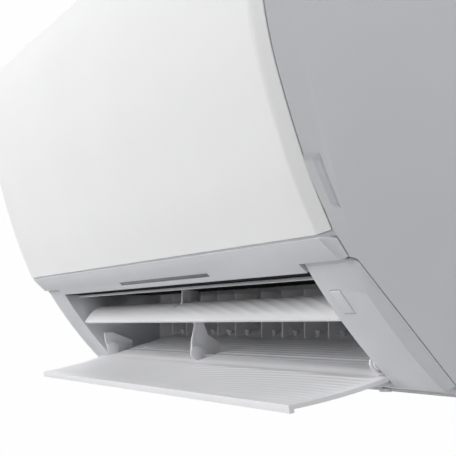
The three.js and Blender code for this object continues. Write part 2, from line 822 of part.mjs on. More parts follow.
// The line across the lamp window, up the slope of the strip.
function lensLine(width) {
  const [[lowF, lowH], [highF, highH]] = stripLine();
  const run = Math.hypot(highF - lowF, highH - lowH);
  return [-width / 2, width / 2].map((s) => {
    const share = LENS_SHARE + s / run;
    return [lowF + (highF - lowF) * share, lowH + (highH - lowH) * share];
  });
}

function indicatorLens() {
  const solid = prism(
    stripProfile(lensLine(LENS_WIDTH), LENS_SUNK, WALL),
    LENS_X - LENS_LENGTH / 2,
    LENS_X + LENS_LENGTH / 2,
  );
  return mesh("indicator_lens", solid, FINISH.lens);
}

function displayBoard() {
  const near = WALL + GAP;
  const solid = prism(
    stripProfile(lensLine(LENS_WIDTH * 2), near, near + BOARD_THICKNESS),
    LENS_X - LENS_LENGTH / 2,
    LENS_X + LENS_LENGTH / 2,
  );
  return mesh("display_board", solid, FINISH.board);
}

// ---------------------------------------------------------------- outlet

// The outlet's frame: a cheek at each end with its curved face, and the lip below.
function outletFrame() {
  const cheeks = [-1, 1].map(cheek);
  const lip = prism(lipProfile(), -OPENING_HALF - WALL / 2, OPENING_HALF + WALL / 2);
  const boss = barAlongX(
    UPPER_PIVOT_F,
    UPPER_PIVOT_H,
    UPPER_BOSS_RADIUS,
    -OPENING_HALF - WALL / 2,
    -OPENING_HALF + UPPER_BOSS_HEIGHT,
  );
  const through = OPENING_HALF + 2 * WALL;
  const holes = [
    barAlongX(UPPER_PIVOT_F, UPPER_PIVOT_H, UPPER_PIN_RADIUS + GAP, UPPER_HALF, through),
    barAlongX(UPPER_PIVOT_F, UPPER_PIVOT_H, UPPER_PIN_RADIUS + GAP, -through, -UPPER_HALF),
    barAlongX(LOWER_PIVOT_F, LOWER_PIVOT_H, LOWER_PIN_RADIUS + GAP, UPPER_HALF, through),
    barAlongX(
      LOWER_PIVOT_F,
      LOWER_PIVOT_H,
      LOWER_PIN_RADIUS + STEPPER_NOSE_WALL + 2 * GAP,
      END_WALL_OUTER,
      END_WALL_OUTER + PIN_IN_MOTOR + STEPPER_NOSE_WALL + 3 * GAP,
    ),
    buttonWindow(),
    ...[-1, 1].map((side) =>
      barUpright(side * SCREW_X, SCREW_F, SCREW_SHANK_RADIUS + GAP, -WALL, SCREW_LENGTH),
    ),
  ];
  return mesh("outlet_frame", cut(join(lip, ...cheeks, boss), ...holes), FINISH.trim);
}

// A skin through stations given from the middle outward, on either side of the unit.
const sideLoft = (side, stations) =>
  loft(side > 0 ? stations : stations.map(({ x, points }) => ({ x: -x, points })).reverse());

function cheek(side) {
  const face = faceLine();
  const [seamTop, seamToe] = cheekSeam();
  const rim = face.map((_, i) => {
    const t = CHEEK_RIM_START + ((1 - CHEEK_RIM_START) * i) / (face.length - 1);
    return [seamTop[0] + (seamToe[0] - seamTop[0]) * t, seamTop[1] + (seamToe[1] - seamTop[1]) * t];
  });
  const faceHalf = HALF_WIDTH - CHEEK_RIM_INSET;
  const faceLoop = [...offsetLine(face, -WALL), ...face.slice().reverse()];
  const rimLoop = [
    ...offsetLine(rim, GAP),
    ...offsetLine(rim, GAP + PANEL_EDGE_THICKNESS).reverse(),
  ];
  const skin = sideLoft(side, [
    { x: OPENING_HALF, points: faceLoop },
    { x: faceHalf, points: faceLoop },
    { x: HALF_WIDTH, points: rimLoop },
  ]);
  const bellyEndF = CHASSIS_FRONT_F + GAP;
  const bellyTo = SIDE_INNER - GAP;
  const [inF, inH] = faceInward();
  const bellyLoop = (shift) => [
    ...[face.at(-1), face.at(-2)].map(([f, h]) => [f + inF * shift, h + inH * shift]),
    [FACE_TOE_F - WALL + inF * shift, FACE_TOE_H + WALL + inH * shift],
    [bellyEndF, BELLY_END_H + WALL],
    [bellyEndF, BELLY_END_H],
  ];
  const slant = (CHEEK_RIM_TOE * (bellyTo - faceHalf)) / CHEEK_RIM_INSET;
  const belly = sideLoft(side, [
    { x: OPENING_HALF, points: bellyLoop(0) },
    { x: faceHalf, points: bellyLoop(0) },
    { x: bellyTo, points: bellyLoop(slant) },
  ]);
  const wallProfile = [
    ...face,
    [bellyEndF, BELLY_END_H],
    [bellyEndF, floorHeight(bellyEndF) - WALL],
    [CHEEK_REAR_F, floorHeight(CHEEK_REAR_F) - WALL],
    [CHEEK_REAR_F, FACE_TOP_H],
  ];
  const reveal = spanPrism(wallProfile, side * OPENING_HALF, side * END_WALL_OUTER);
  const roof = block(
    side * OPENING_HALF,
    side * bellyTo,
    CHEEK_REAR_F,
    FACE_TOP_F - WALL / 2,
    FACE_TOP_H - WALL,
    FACE_TOP_H,
  );
  return join(skin, belly, reveal, roof);
}

// The lip under the duct floor, hollowed in front so that the vane's rear edge clears it.
function lipProfile() {
  const rearF = FLOOR_LIP_F - WALL + GAP;
  const arc = [];
  for (let degrees = 186; degrees <= 241; degrees += 11) {
    const angle = THREE.MathUtils.degToRad(degrees);
    arc.push([
      LOWER_PIVOT_F + LIP_RADIUS * Math.cos(angle),
      LOWER_PIVOT_H + LIP_RADIUS * Math.sin(angle),
    ]);
  }
  return [
    ...arc,
    [FACE_TOE_F, FACE_TOE_H],
    [CHASSIS_FRONT_F + GAP, BELLY_END_H],
    [CHASSIS_FRONT_F + GAP, BELLY_END_H + WALL],
    [rearF, FACE_TOE_H + WALL],
    [rearF, floorHeight(rearF)],
  ];
}

function ductCeiling() {
  const solid = block(
    GAP - OPENING_HALF,
    OPENING_HALF - GAP,
    CEILING_REAR_F,
    offsetLine(stripLine(), WALL)[0][0] - GAP,
    CEILING_H,
    CEILING_H + CEILING_THICKNESS,
  );
  return mesh("duct_ceiling", solid, FINISH.dark);
}

function ceilingRail() {
  const top = CEILING_H - GAP;
  const solid = block(
    GAP - OPENING_HALF,
    OPENING_HALF - GAP,
    RAIL_F - RAIL_WIDTH / 2,
    RAIL_F + RAIL_WIDTH / 2,
    top - RAIL_HEIGHT,
    top,
  );
  return mesh("ceiling_rail", solid, FINISH.trim);
}

// A stay on the duct floor with the lower vane's pivot in it. The middle one reaches up to
// the ceiling and carries the upper vane as well.
function vaneStay(name, x, reachesCeiling) {
  const footTop = [FLOOR_LIP_F - 5, floorHeight(FLOOR_LIP_F - 5) + 7];
  const foot = [
    [LOWER_PIVOT_F, LOWER_PIVOT_H - LOWER_LUG_RADIUS],
    [LOWER_PIVOT_F - 4, LOWER_PIVOT_H - 2],
    [FLOOR_LIP_F + GAP, FLOOR_LIP_H + GAP],
    [footTop[0], floorHeight(footTop[0]) + GAP],
    footTop,
  ];
  const tall = [
    [LOWER_PIVOT_F - 9, LOWER_PIVOT_H + 14],
    [LOWER_PIVOT_F - 6, LOWER_PIVOT_H + 22],
    [UPPER_PIVOT_F - 8, CEILING_H - GAP],
    [UPPER_PIVOT_F + UPPER_LUG_RADIUS, CEILING_H - GAP],
    [UPPER_PIVOT_F + UPPER_LUG_RADIUS, UPPER_PIVOT_H],
    [UPPER_PIVOT_F - 1.5, UPPER_PIVOT_H - UPPER_LUG_RADIUS],
    [LOWER_PIVOT_F + 1.5, LOWER_PIVOT_H + 21.5],
    [LOWER_PIVOT_F + LOWER_LUG_RADIUS, LOWER_PIVOT_H + 9],
    [LOWER_PIVOT_F + LOWER_LUG_RADIUS, LOWER_PIVOT_H],
  ];
  const low = [
    [LOWER_PIVOT_F, LOWER_PIVOT_H + 15],
    [LOWER_PIVOT_F + 8, LOWER_PIVOT_H + 14.3],
    [LOWER_PIVOT_F + 7, LOWER_PIVOT_H + 6.5],
    [LOWER_PIVOT_F + LOWER_LUG_RADIUS, LOWER_PIVOT_H],
  ];
  const near = x - STAY_THICKNESS / 2;
  const far = x + STAY_THICKNESS / 2;
  const plate = prism([...foot, ...(reachesCeiling ? tall : low)], near, far);
  const lug = barAlongX(LOWER_PIVOT_F, LOWER_PIVOT_H, LOWER_LUG_RADIUS, near, far);
  const lowerHole = barAlongX(
    LOWER_PIVOT_F,
    LOWER_PIVOT_H,
    LOWER_PIN_RADIUS + GAP,
    near - WALL,
    far + WALL,
  );
  if (!reachesCeiling) return mesh(name, cut(join(plate, lug), lowerHole), FINISH.vane);
  const upperLug = barAlongX(UPPER_PIVOT_F, UPPER_PIVOT_H, UPPER_LUG_RADIUS, near, far);
  const upperHole = barAlongX(
    UPPER_PIVOT_F,
    UPPER_PIVOT_H,
    UPPER_PIN_RADIUS + GAP,
    near - WALL,
    far + WALL,
  );
  return mesh(name, cut(join(plate, lug, upperLug), lowerHole, upperHole), FINISH.vane);
}

// ---------------------------------------------------------------- horizontal vanes

// The lower vane is drawn shut, around its own pivot, and its group turns it open.
function lowerVane() {
  const local = (points) => points.map(([f, h]) => [f - LOWER_PIVOT_F, h - LOWER_PIVOT_H]);
  const lipEnd = LOWER_TOP_SHARE + LOWER_LIP_SHARE;
  const shares = [LOWER_TOP_SHARE, lipEnd, LOWER_WIDE_SHARE, LOWER_NECK_SHARE, LOWER_TOE_SHARE];
  for (let i = 1; i < LOWER_FACETS; i++)
    shares.push(lipEnd + ((LOWER_WIDE_SHARE - lipEnd) * i) / LOWER_FACETS);
  shares.sort((a, b) => a - b);
  const line = shares.map(facePoint);
  const inner = LOWER_SHUT_PROUD;
  const outer = LOWER_SHUT_PROUD + LOWER_THICKNESS;
  const plate = (fromShare, toShare, near, far) => {
    const [start, end] = [shares.indexOf(fromShare), shares.indexOf(toShare) + 1];
    const back = offsetLine(line, near).slice(start, end);
    return local([...back, ...offsetLine(line, far).slice(start, end).reverse()]);
  };
  const tailHalf = STAY_END_X - STAY_THICKNESS / 2 - 2 * GAP;
  const wide = prism(plate(LOWER_TOP_SHARE, LOWER_WIDE_SHARE, inner, outer), -LOWER_HALF, LOWER_HALF);
  const neck = prism(
    plate(LOWER_TOP_SHARE, LOWER_NECK_SHARE, inner, outer),
    -LOWER_NECK_HALF,
    LOWER_NECK_HALF,
  );
  const tail = prism(plate(LOWER_TOP_SHARE, LOWER_TOE_SHARE, inner, outer), -tailHalf, tailHalf);
  const lip = prism(
    plate(LOWER_TOP_SHARE, lipEnd, inner, inner + LOWER_LIP),
    -LOWER_HALF,
    LOWER_HALF,
  );
  const ears = [-STAY_END_X, STAY_MIDDLE_X, STAY_END_X].flatMap((x) => ear(x));
  const driveEnd = OPENING_HALF + WALL + GAP + PIN_IN_MOTOR;
  const drive = barAlongX(0, 0, LOWER_PIN_RADIUS, STAY_END_X, driveEnd);
  const notch = prism(
    plate(LOWER_NECK_SHARE, LOWER_TOE_SHARE, inner - WALL, outer + WALL),
    STAY_MIDDLE_X - STAY_THICKNESS / 2 - 2 * GAP,
    STAY_MIDDLE_X + STAY_THICKNESS / 2 + 2 * GAP,
  );
  const vane = mesh(
    "lower_vane",
    join(cut(join(wide, neck, tail, lip), notch), ...ears, drive),
    FINISH.vane,
  );
  const group = new THREE.Group();
  group.position.set(0, -LOWER_PIVOT_F, LOWER_PIVOT_H);
  group.rotation.x = SHUT_ANGLE;
  group.add(vane);
  return group;
}

// The pivot ear beside a stay, on its side nearer to the middle, and its pin.
function ear(x) {
  const side = x < 0 ? 1 : -1;
  const near = x + side * (STAY_THICKNESS / 2 + GAP);
  const far = near + side * EAR_THICKNESS;
  const pinEnd = x - side * (STAY_THICKNESS / 2 + GAP);
  return [
    barAlongX(0, 0, LOWER_EAR_RADIUS, near, far),
    barAlongX(0, 0, LOWER_PIN_RADIUS, far, pinEnd),
  ];
}

// The upper vane's bow in side view around its pivot, from its rear edge to its front one.
function upperBow() {
  const points = [];
  for (let i = 0; i <= UPPER_STEPS; i++) {
    const f = -UPPER_REAR_REACH + ((UPPER_FRONT_REACH + UPPER_REAR_REACH) * i) / UPPER_STEPS;
    const bent = Math.max(0, f - UPPER_BEND) / (UPPER_FRONT_REACH - UPPER_BEND);
    points.push([f, UPPER_SEAT - UPPER_DROP * Math.pow(bent, UPPER_CURL)]);
  }
  return points;
}

// The upper vane around its own pivot: a bowed plate with a pin at each end and an axle
// across the gap for the middle stay, each on a web under the plate.
function upperVane() {
  const half = UPPER_THICKNESS / 2;
  const plate = prism(stripProfile(upperBow(), -half, half), -UPPER_HALF, UPPER_HALF);
  const notchHalf = STAY_THICKNESS / 2 + 2 * GAP;
  const notch = block(
    STAY_MIDDLE_X - notchHalf,
    STAY_MIDDLE_X + notchHalf,
    -UPPER_REAR_REACH - WALL,
    2 * UPPER_LUG_RADIUS + 4 * GAP,
    -UPPER_DROP,
    UPPER_SEAT + WALL,
  );
  const web = (x0, x1) => block(x0, x1, -UPPER_PIN_RADIUS, UPPER_PIN_RADIUS, 0, UPPER_SEAT - GAP);
  const webs = [
    web(-UPPER_HALF, WALL - UPPER_HALF),
    web(STAY_MIDDLE_X - 2 * notchHalf, STAY_MIDDLE_X - notchHalf),
    web(STAY_MIDDLE_X + notchHalf, STAY_MIDDLE_X + 2 * notchHalf),
    web(UPPER_HALF - WALL, UPPER_HALF),
  ];
  const axle = barAlongX(
    0,
    0,
    UPPER_PIN_RADIUS,
    STAY_MIDDLE_X - 2 * notchHalf,
    STAY_MIDDLE_X + 2 * notchHalf,
  );
  const leftPin = barAlongX(0, 0, UPPER_PIN_RADIUS, -END_WALL_OUTER, WALL - UPPER_HALF);
  const driveEnd = OPENING_HALF + WALL + GAP + PIN_IN_MOTOR;
  const drivePin = barAlongX(0, 0, UPPER_PIN_RADIUS, UPPER_HALF - WALL, driveEnd);
  const vane = mesh(
    "upper_vane",
    join(cut(plate, notch), ...webs, axle, leftPin, drivePin),
    FINISH.vane,
  );
  vane.position.set(0, -UPPER_PIVOT_F, UPPER_PIVOT_H);
  return vane;
}

// ---------------------------------------------------------------- upright vanes

// One upright vane around its own pivot line, with a pin in the floor and a pin for the rod.
function uprightVane(name, x, drives) {
  const floor = (f) => floorHeight(f) + UPRIGHT_FLOOR_CLEARANCE;
  const rodSeat = UPRIGHT_TOP_H - ROD_DROP;
  const blade = prism(
    [
      [UPRIGHT_FRONT_F, floor(UPRIGHT_FRONT_F)],
      [UPRIGHT_FRONT_F, UPRIGHT_TOP_H],
      [ROD_F + ROD_WIDTH, UPRIGHT_TOP_H],
      [ROD_F + ROD_WIDTH, rodSeat],
      [UPRIGHT_REAR_F, rodSeat],
      [UPRIGHT_REAR_F, floor(UPRIGHT_REAR_F) + UPRIGHT_REAR_RISE],
      [UPRIGHT_PIVOT_F, floor(UPRIGHT_PIVOT_F)],
    ],
    -UPRIGHT_THICKNESS / 2,
    UPRIGHT_THICKNESS / 2,
  );
  const pinTop = floor(UPRIGHT_PIVOT_F) + WALL;
  const reach = drives ? PIN_IN_MOTOR : 0;
  const pin = barUpright(
    0,
    UPRIGHT_PIVOT_F,
    UPRIGHT_PIN_RADIUS,
    floorHeight(UPRIGHT_PIVOT_F) - UPRIGHT_PIN_LENGTH - reach,
    pinTop,
    8,
  );
  const collar = barUpright(
    0,
    UPRIGHT_PIVOT_F,
    UPRIGHT_PIN_RADIUS * 1.6,
    floor(UPRIGHT_PIVOT_F) + 2 * GAP,
    pinTop,
    8,
  );
  const rodPin = barUpright(
    0,
    ROD_F,
    ROD_PIN_RADIUS,
    rodSeat - WALL,
    rodSeat + 2 * GAP + ROD_THICKNESS + WALL,
    6,
  );
  const vane = mesh(name, join(blade, collar, pin, rodPin), FINISH.upright);
  vane.position.x = x;
  return vane;
}

// The rod that turns a bank of upright vanes together.
function linkRod(name, firstX, count) {
  const bottom = UPRIGHT_TOP_H - ROD_DROP + 2 * GAP;
  const top = bottom + ROD_THICKNESS;
  const lastX = firstX + (count - 1) * UPRIGHT_PITCH;
  const bar = block(
    firstX - ROD_WIDTH,
    lastX + ROD_WIDTH,
    ROD_F - ROD_WIDTH / 2,
    ROD_F + ROD_WIDTH / 2,
    bottom,
    top,
  );
  const holes = [];
  for (let i = 0; i < count; i++)
    holes.push(
      barUpright(
        firstX + i * UPRIGHT_PITCH,
        ROD_F,
        ROD_PIN_RADIUS + GAP,
        bottom - WALL,
        top + WALL,
        8,
      ),
    );
  return mesh(name, cut(bar, ...holes), FINISH.trim);
}

function uprightBank(side, firstX, count) {
  const bank = [linkRod("link_rod_" + side, firstX, count)];
  for (let i = 0; i < count; i++) {
    const name = "upright_vane_" + side + "_" + (i + 1);
    bank.push(uprightVane(name, firstX + i * UPRIGHT_PITCH, i === 0));
  }
  return bank;
}

// ---------------------------------------------------------------- chassis and fan

// Rear chassis: back wall, gutter, fan housing, duct floor and the ends of the fan bay.
function rearChassis() {
  const spiral = [];
  const spiralBack = [];
  for (let degrees = SCROLL_START_DEG; degrees <= SCROLL_END_DEG; degrees += SCROLL_STEP_DEG) {
    spiral.push(scrollPoint(degrees));
    spiralBack.unshift(scrollPoint(degrees, WALL));
  }
  const coilFoot = coilCorners().rear[2];
  const gutterH = coilFoot[1] - GUTTER_DEPTH;
  const floorEndF = FLOOR_LIP_F - WALL;
  const housing = prism(
    [
      [CHASSIS_REAR_F, UNIT_HEIGHT - 2 * WALL],
      [CHASSIS_BACK_F, UNIT_HEIGHT - 2 * WALL],
      [CHASSIS_BACK_F, gutterH],
      [coilFoot[0] - 4 * WALL, gutterH - WALL],
      [coilFoot[0] - WALL / 2, coilFoot[1] - GAP],
      [coilFoot[0] + WALL, coilFoot[1] - GAP - WALL],
      ...spiral,
      [floorEndF, floorHeight(floorEndF)],
      [floorEndF, floorHeight(floorEndF) - WALL],
      ...spiralBack,
      [CHASSIS_REAR_F, gutterH - WALL],
    ],
    GAP - OPENING_HALF,
    OPENING_HALF - GAP,
  );
  const [webF, webTop] = scrollPoint(WEB_DEG, WALL / 2);
  const web = block(
    GAP - OPENING_HALF,
    OPENING_HALF - GAP,
    webF - WALL / 2,
    webF + WALL / 2,
    WALL / 2,
    webTop,
  );
  const bosses = [-1, 1].map((side) =>
    cut(
      barUpright(
        side * SCREW_X,
        SCREW_F,
        SCREW_BOSS_RADIUS,
        FACE_TOE_H + WALL + GAP,
        floorHeight(SCREW_F),
      ),
      barUpright(
        side * SCREW_X,
        SCREW_F,
        SCREW_SHANK_RADIUS + GAP,
        0,
        floorHeight(SCREW_F) - WALL - GAP,
        10,
      ),
    ),
  );
  const halfBase = SIDE_INNER - GAP;
  const base = block(-halfBase, halfBase, CHASSIS_REAR_F, CHASSIS_FRONT_F, 0, WALL);
  const back = block(
    -halfBase,
    halfBase,
    CHASSIS_REAR_F,
    CHASSIS_BACK_F,
    0,
    UNIT_HEIGHT - 2 * WALL,
  );
  const endProfile = [
    [coilFoot[0], gutterH],
    ...spiralBack.slice().reverse(),
    [CHEEK_REAR_F - GAP, floorHeight(CHEEK_REAR_F) - WALL],
    [CHEEK_REAR_F - GAP, FACE_TOP_H + GAP],
    [FAN_F + FAN_RADIUS * 0.75, FACE_TOP_H + GAP],
    [FAN_F + FAN_RADIUS + WALL, FAN_H],
    [FAN_F + FAN_RADIUS * 0.6, gutterH],
  ];
  const ends = [-1, 1].map((side) =>
    spanPrism(endProfile, side * (OPENING_HALF - 2 * GAP), side * (END_WALL_OUTER - GAP)),
  );
  const pinHolesInFloor = uprightPlaces().map((x) =>
    barUpright(
      x,
      UPRIGHT_PIVOT_F,
      UPRIGHT_PIN_RADIUS + GAP,
      FLOOR_LIP_H,
      floorHeight(UPRIGHT_PIVOT_F) + 2 * WALL,
      8,
    ),
  );
  const hookSlots = [-1, 1].map((side) =>
    block(
      side * PLATE_HOOK_X - PLATE_HOOK_WIDTH / 2 - GAP,
      side * PLATE_HOOK_X + PLATE_HOOK_WIDTH / 2 + GAP,
      0,
      CHASSIS_BACK_F + WALL,
      plateHookBottom() - GAP,
      plateHookBottom() + PLATE_HOOK_HEIGHT + GAP,
    ),
  );
  const bearingSeat = barAlongX(
    FAN_F,
    FAN_H,
    BEARING_RADIUS + GAP,
    -END_WALL_OUTER - WALL,
    WALL - OPENING_HALF,
  );
  const shaftHole = barAlongX(
    FAN_F,
    FAN_H,
    MOTOR_SHAFT_RADIUS * 2,
    OPENING_HALF - WALL,
    END_WALL_OUTER + WALL,
  );
  return mesh(
    "rear_chassis",
    cut(
      join(housing, web, base, back, ...ends, ...bosses),
      ...pinHolesInFloor,
      ...hookSlots,
      bearingSeat,
      shaftHole,
    ),
    FINISH.chassis,
  );
}

const plateHookBottom = () => PLATE_MIDDLE_H + PLATE_HEIGHT / 2 - PLATE_HOOK_HEIGHT;

const bankPlaces = (firstX, count) =>
  Array.from({ length: count }, (_, i) => firstX + i * UPRIGHT_PITCH);

const uprightPlaces = () => [
  ...bankPlaces(UPRIGHT_LEFT_FIRST_X, UPRIGHT_LEFT_COUNT),
  ...bankPlaces(UPRIGHT_RIGHT_FIRST_X, UPRIGHT_RIGHT_COUNT),
];

// The cross-flow fan: curved blades held by rings, a disc at each end and a stub shaft.
function crossFlowFan() {
  const innerRadius = FAN_RADIUS - FAN_BLADE_DEPTH;
  const blades = [];
  const twist = THREE.MathUtils.degToRad(FAN_BLADE_LEAN_DEG);
  for (let i = 0; i < FAN_BLADE_COUNT; i++) {
    const start = (i / FAN_BLADE_COUNT) * 2 * Math.PI;
    const front = [];
    const back = [];
    for (const t of [0, 1]) {
      const radius = innerRadius + FAN_BLADE_DEPTH * t;
      const angle = start + twist * t * t;
      const half = FAN_BLADE_THICKNESS / 2 / radius;
      front.push([radius * Math.cos(angle - half), radius * Math.sin(angle - half)]);
      back.unshift([radius * Math.cos(angle + half), radius * Math.sin(angle + half)]);
    }
    blades.push(prism([...front, ...back], -FAN_HALF, FAN_HALF));
  }
  const rings = [];
  for (let i = 1; i + 1 < FAN_RING_COUNT; i++) {
    const x = -FAN_HALF + (i / (FAN_RING_COUNT - 1)) * 2 * FAN_HALF;
    rings.push(
      cut(
        barAlongX(0, 0, FAN_RADIUS - GAP, x, x + FAN_RING_THICKNESS, FAN_RING_SIDES),
        barAlongX(0, 0, innerRadius + GAP, x - WALL, x + FAN_RING_THICKNESS + WALL, FAN_RING_SIDES),
      ),
    );
  }
  const discs = [
    barAlongX(0, 0, FAN_RADIUS - GAP, -FAN_HALF, FAN_RING_THICKNESS - FAN_HALF, FAN_RING_SIDES),
    barAlongX(0, 0, FAN_RADIUS - GAP, FAN_HALF - FAN_RING_THICKNESS, FAN_HALF, FAN_RING_SIDES),
  ];
  const hub = barAlongX(0, 0, MOTOR_SHAFT_RADIUS * 3, FAN_HALF - FAN_HUB_LENGTH, FAN_HALF);
  const bore = barAlongX(
    0,
    0,
    MOTOR_SHAFT_RADIUS + GAP,
    FAN_HALF - FAN_HUB_LENGTH + FAN_RING_THICKNESS,
    FAN_HALF + WALL,
  );
  const stub = barAlongX(0, 0, FAN_STUB_RADIUS, -END_WALL_OUTER - 2 * WALL, WALL - FAN_HALF);
  const fan = mesh(
    "cross_flow_fan",
    cut(join(...blades, ...rings, ...discs, hub, stub), bore),
    FINISH.dark,
  );
  fan.position.set(0, -FAN_F, FAN_H);
  return fan;
}

function fanDrive() {
  const start = END_WALL_OUTER + MOTOR_NOSE;
  const end = start + MOTOR_LENGTH;
  const shaftEnd = start + MOTOR_LENGTH / 2;
  const shaft = barAlongX(
    FAN_F,
    FAN_H,
    MOTOR_SHAFT_RADIUS,
    FAN_HALF - FAN_HUB_LENGTH + FAN_RING_THICKNESS + GAP,
    shaftEnd,
  );
  const can = cut(
    join(
      barAlongX(FAN_F, FAN_H, MOTOR_RADIUS, start, end, 40),
      barAlongX(FAN_F, FAN_H, MOTOR_NOSE_RADIUS, END_WALL_OUTER + GAP, start + WALL),
    ),
    barAlongX(FAN_F, FAN_H, MOTOR_SHAFT_RADIUS + GAP, END_WALL_OUTER - WALL, shaftEnd + GAP),
  );
  const reach = MOTOR_RADIUS + 2 * WALL;
  const bracket = cut(
    block(
      start + BRACKET_INSET,
      end - BRACKET_INSET,
      CHASSIS_BACK_F + GAP,
      FAN_F,
      FAN_H - reach,
      FAN_H + reach,
    ),
    barAlongX(FAN_F, FAN_H, MOTOR_RADIUS + GAP, start, end, 40),
  );
  const bearing = cut(
    barAlongX(FAN_F, FAN_H, BEARING_RADIUS, -END_WALL_OUTER - WALL, WALL - OPENING_HALF),
    barAlongX(FAN_F, FAN_H, FAN_STUB_RADIUS + GAP, -END_WALL_OUTER - 2 * WALL, -FAN_HALF),
  );
  return [
    mesh("motor_shaft", shaft, FINISH.steel),
    mesh("fan_motor", can, FINISH.steel),
    mesh("motor_bracket", bracket, FINISH.chassis),
    mesh("fan_bearing", bearing, FINISH.rubber),
  ];
}

// ---------------------------------------------------------------- heat exchanger

// Corners of the three coil slabs around the fan, each as outer start, outer end, inner
// end, inner start. Each slab starts against the corner of the one before, and the line from
// that corner to its own end lies this far inside its outer face.
function coilCorners() {
  const slab = (corner, end, gap, outside, thickness) => {
    const length = Math.hypot(end[0] - corner[0], end[1] - corner[1]);
    const along = [(end[0] - corner[0]) / length, (end[1] - corner[1]) / length];
    const place = (run, inside) => [
      corner[0] + along[0] * run - along[1] * inside,
      corner[1] + along[1] * run + along[0] * inside,
    ];
    return [
      place(gap, -outside),
      place(length, -outside),
      place(length, thickness - outside),
      place(gap, thickness - outside),
    ];
  };
  const foot = [COIL_FOOT_F, COIL_FOOT_H];
  const shoulder = [UNIT_DEPTH - COIL_SHOULDER_ROOM, COIL_SHOULDER_H];
  const top = [COIL_TOP_F, UNIT_HEIGHT - COIL_TOP_DROP];
  const tail = [COIL_TAIL_F, COIL_TAIL_H];
  const lower = slab(foot, shoulder, 0, 0, COIL_THICKNESS);
  const upper = slab(lower[2], top, GAP, COIL_STEP, COIL_THICKNESS);
  const rear = slab(upper[2], tail, GAP, COIL_REAR_THICKNESS, COIL_REAR_THICKNESS);
  return { lower, upper, rear };
}

// A finned slab with the hairpin bends of its tubes at the ends.
function coil(name, corners, bendsBothEnds) {
  const [a, b, c, d] = corners;
  const body = prism(corners, -COIL_HALF, COIL_HALF);
  const start = [(a[0] + d[0]) / 2, (a[1] + d[1]) / 2];
  const end = [(b[0] + c[0]) / 2, (b[1] + c[1]) / 2];
  const length = Math.hypot(end[0] - start[0], end[1] - start[1]);
  const tubes = Math.floor((length - TUBE_PITCH / 2) / TUBE_PITCH);
  const margin = (length - (tubes - 1) * TUBE_PITCH) / 2;
  const place = (i) => {
    const t = (margin + i * TUBE_PITCH) / length;
    return [start[0] + (end[0] - start[0]) * t, start[1] + (end[1] - start[1]) * t];
  };
  const bend = (i, side) => {
    const [from, to] = [place(i), place(i + 1)];
    const point = (share, out) => [
      side * (COIL_HALF + out),
      from[0] + (to[0] - from[0]) * share,
      from[1] + (to[1] - from[1]) * share,
    ];
    const half = TUBE_PITCH / 2;
    return pipe(
      [
        point(0, -TUBE_RADIUS),
        point(0, TUBE_RADIUS / 2),
        point(0.15, half * 0.75),
        point(0.5, half),
        point(0.85, half * 0.75),
        point(1, TUBE_RADIUS / 2),
        point(1, -TUBE_RADIUS),
      ],
      TUBE_RADIUS,
      8,
      TUBE_SIDES,
    );
  };
  const bends = [];
  for (let i = 0; i + 1 < tubes; i += 2) bends.push(bend(i, -1));
  if (bendsBothEnds) for (let i = 1; i + 1 < tubes; i += 2) bends.push(bend(i, 1));
  return mesh(name, join(body, ...bends), FINISH.aluminium);
}

// The drain pan under the front coil, with the fan's cut-off nose at its rear and ribs
// that the coil stands on.
function drainPan() {
  const [a, , , d] = coilCorners().lower;
  const bottom = CEILING_H + CEILING_THICKNESS + GAP;
  const floor = bottom + WALL;
  const frontF = COIL_FOOT_F + PAN_FRONT_ROOM;
  const half = OPENING_HALF - 4 * GAP;
  const tray = prism(
    [
      [PAN_NOSE_F + WALL, bottom],
      [frontF - PAN_SLOPE, bottom],
      [frontF, bottom + PAN_SLOPE],
      [frontF, a[1] - WALL],
      [frontF - WALL, a[1] - WALL],
      [frontF - WALL, bottom + PAN_SLOPE + WALL / 2],
      [frontF - PAN_SLOPE - WALL / 2, floor],
      [d[0] - WALL, floor],
      [d[0] - 2 * WALL, d[1] - WALL],
      [d[0] - 3 * WALL, d[1] - WALL],
      [d[0] - 3 * WALL, bottom + PAN_NOSE_RISE],
      [PAN_NOSE_F, bottom + PAN_NOSE_RISE],
    ],
    -half,
    half,
  );
  const ribs = [-1, 0, 1].map((place) => {
    const x = place * PAN_RIB_X;
    return prism(
      [
        [d[0], bottom + WALL / 2],
        [a[0] - WALL, bottom + WALL / 2],
        [a[0] - GAP, a[1] - GAP],
        [d[0], d[1] - 2 * GAP],
      ],
      x - WALL,
      x + WALL,
    );
  });
  const ends = [-1, 1].map((side) =>
    spanPrism(
      [
        [PAN_NOSE_F + WALL, bottom],
        [frontF - PAN_SLOPE, bottom],
        [frontF, bottom + PAN_SLOPE],
        [frontF, bottom + PAN_END_RISE],
        [PAN_NOSE_F + WALL, bottom + PAN_NOSE_RISE],
      ],
      side * (half - WALL),
      side * half,
    ),
  );
  const spoutH = bottom + 2 * SPOUT_RADIUS;
  const spoutF = d[0] + 2 * SPOUT_RADIUS;
  const spout = barAlongX(spoutF, spoutH, SPOUT_RADIUS, half - WALL, half + SPOUT_LENGTH, 16);
  const bore = barAlongX(
    spoutF,
    spoutH,
    SPOUT_RADIUS - WALL / 2,
    half - 2 * WALL,
    half + SPOUT_LENGTH + WALL,
    12,
  );
  return mesh("drain_pan", cut(join(tray, ...ribs, ...ends, spout), bore), FINISH.foam);
}

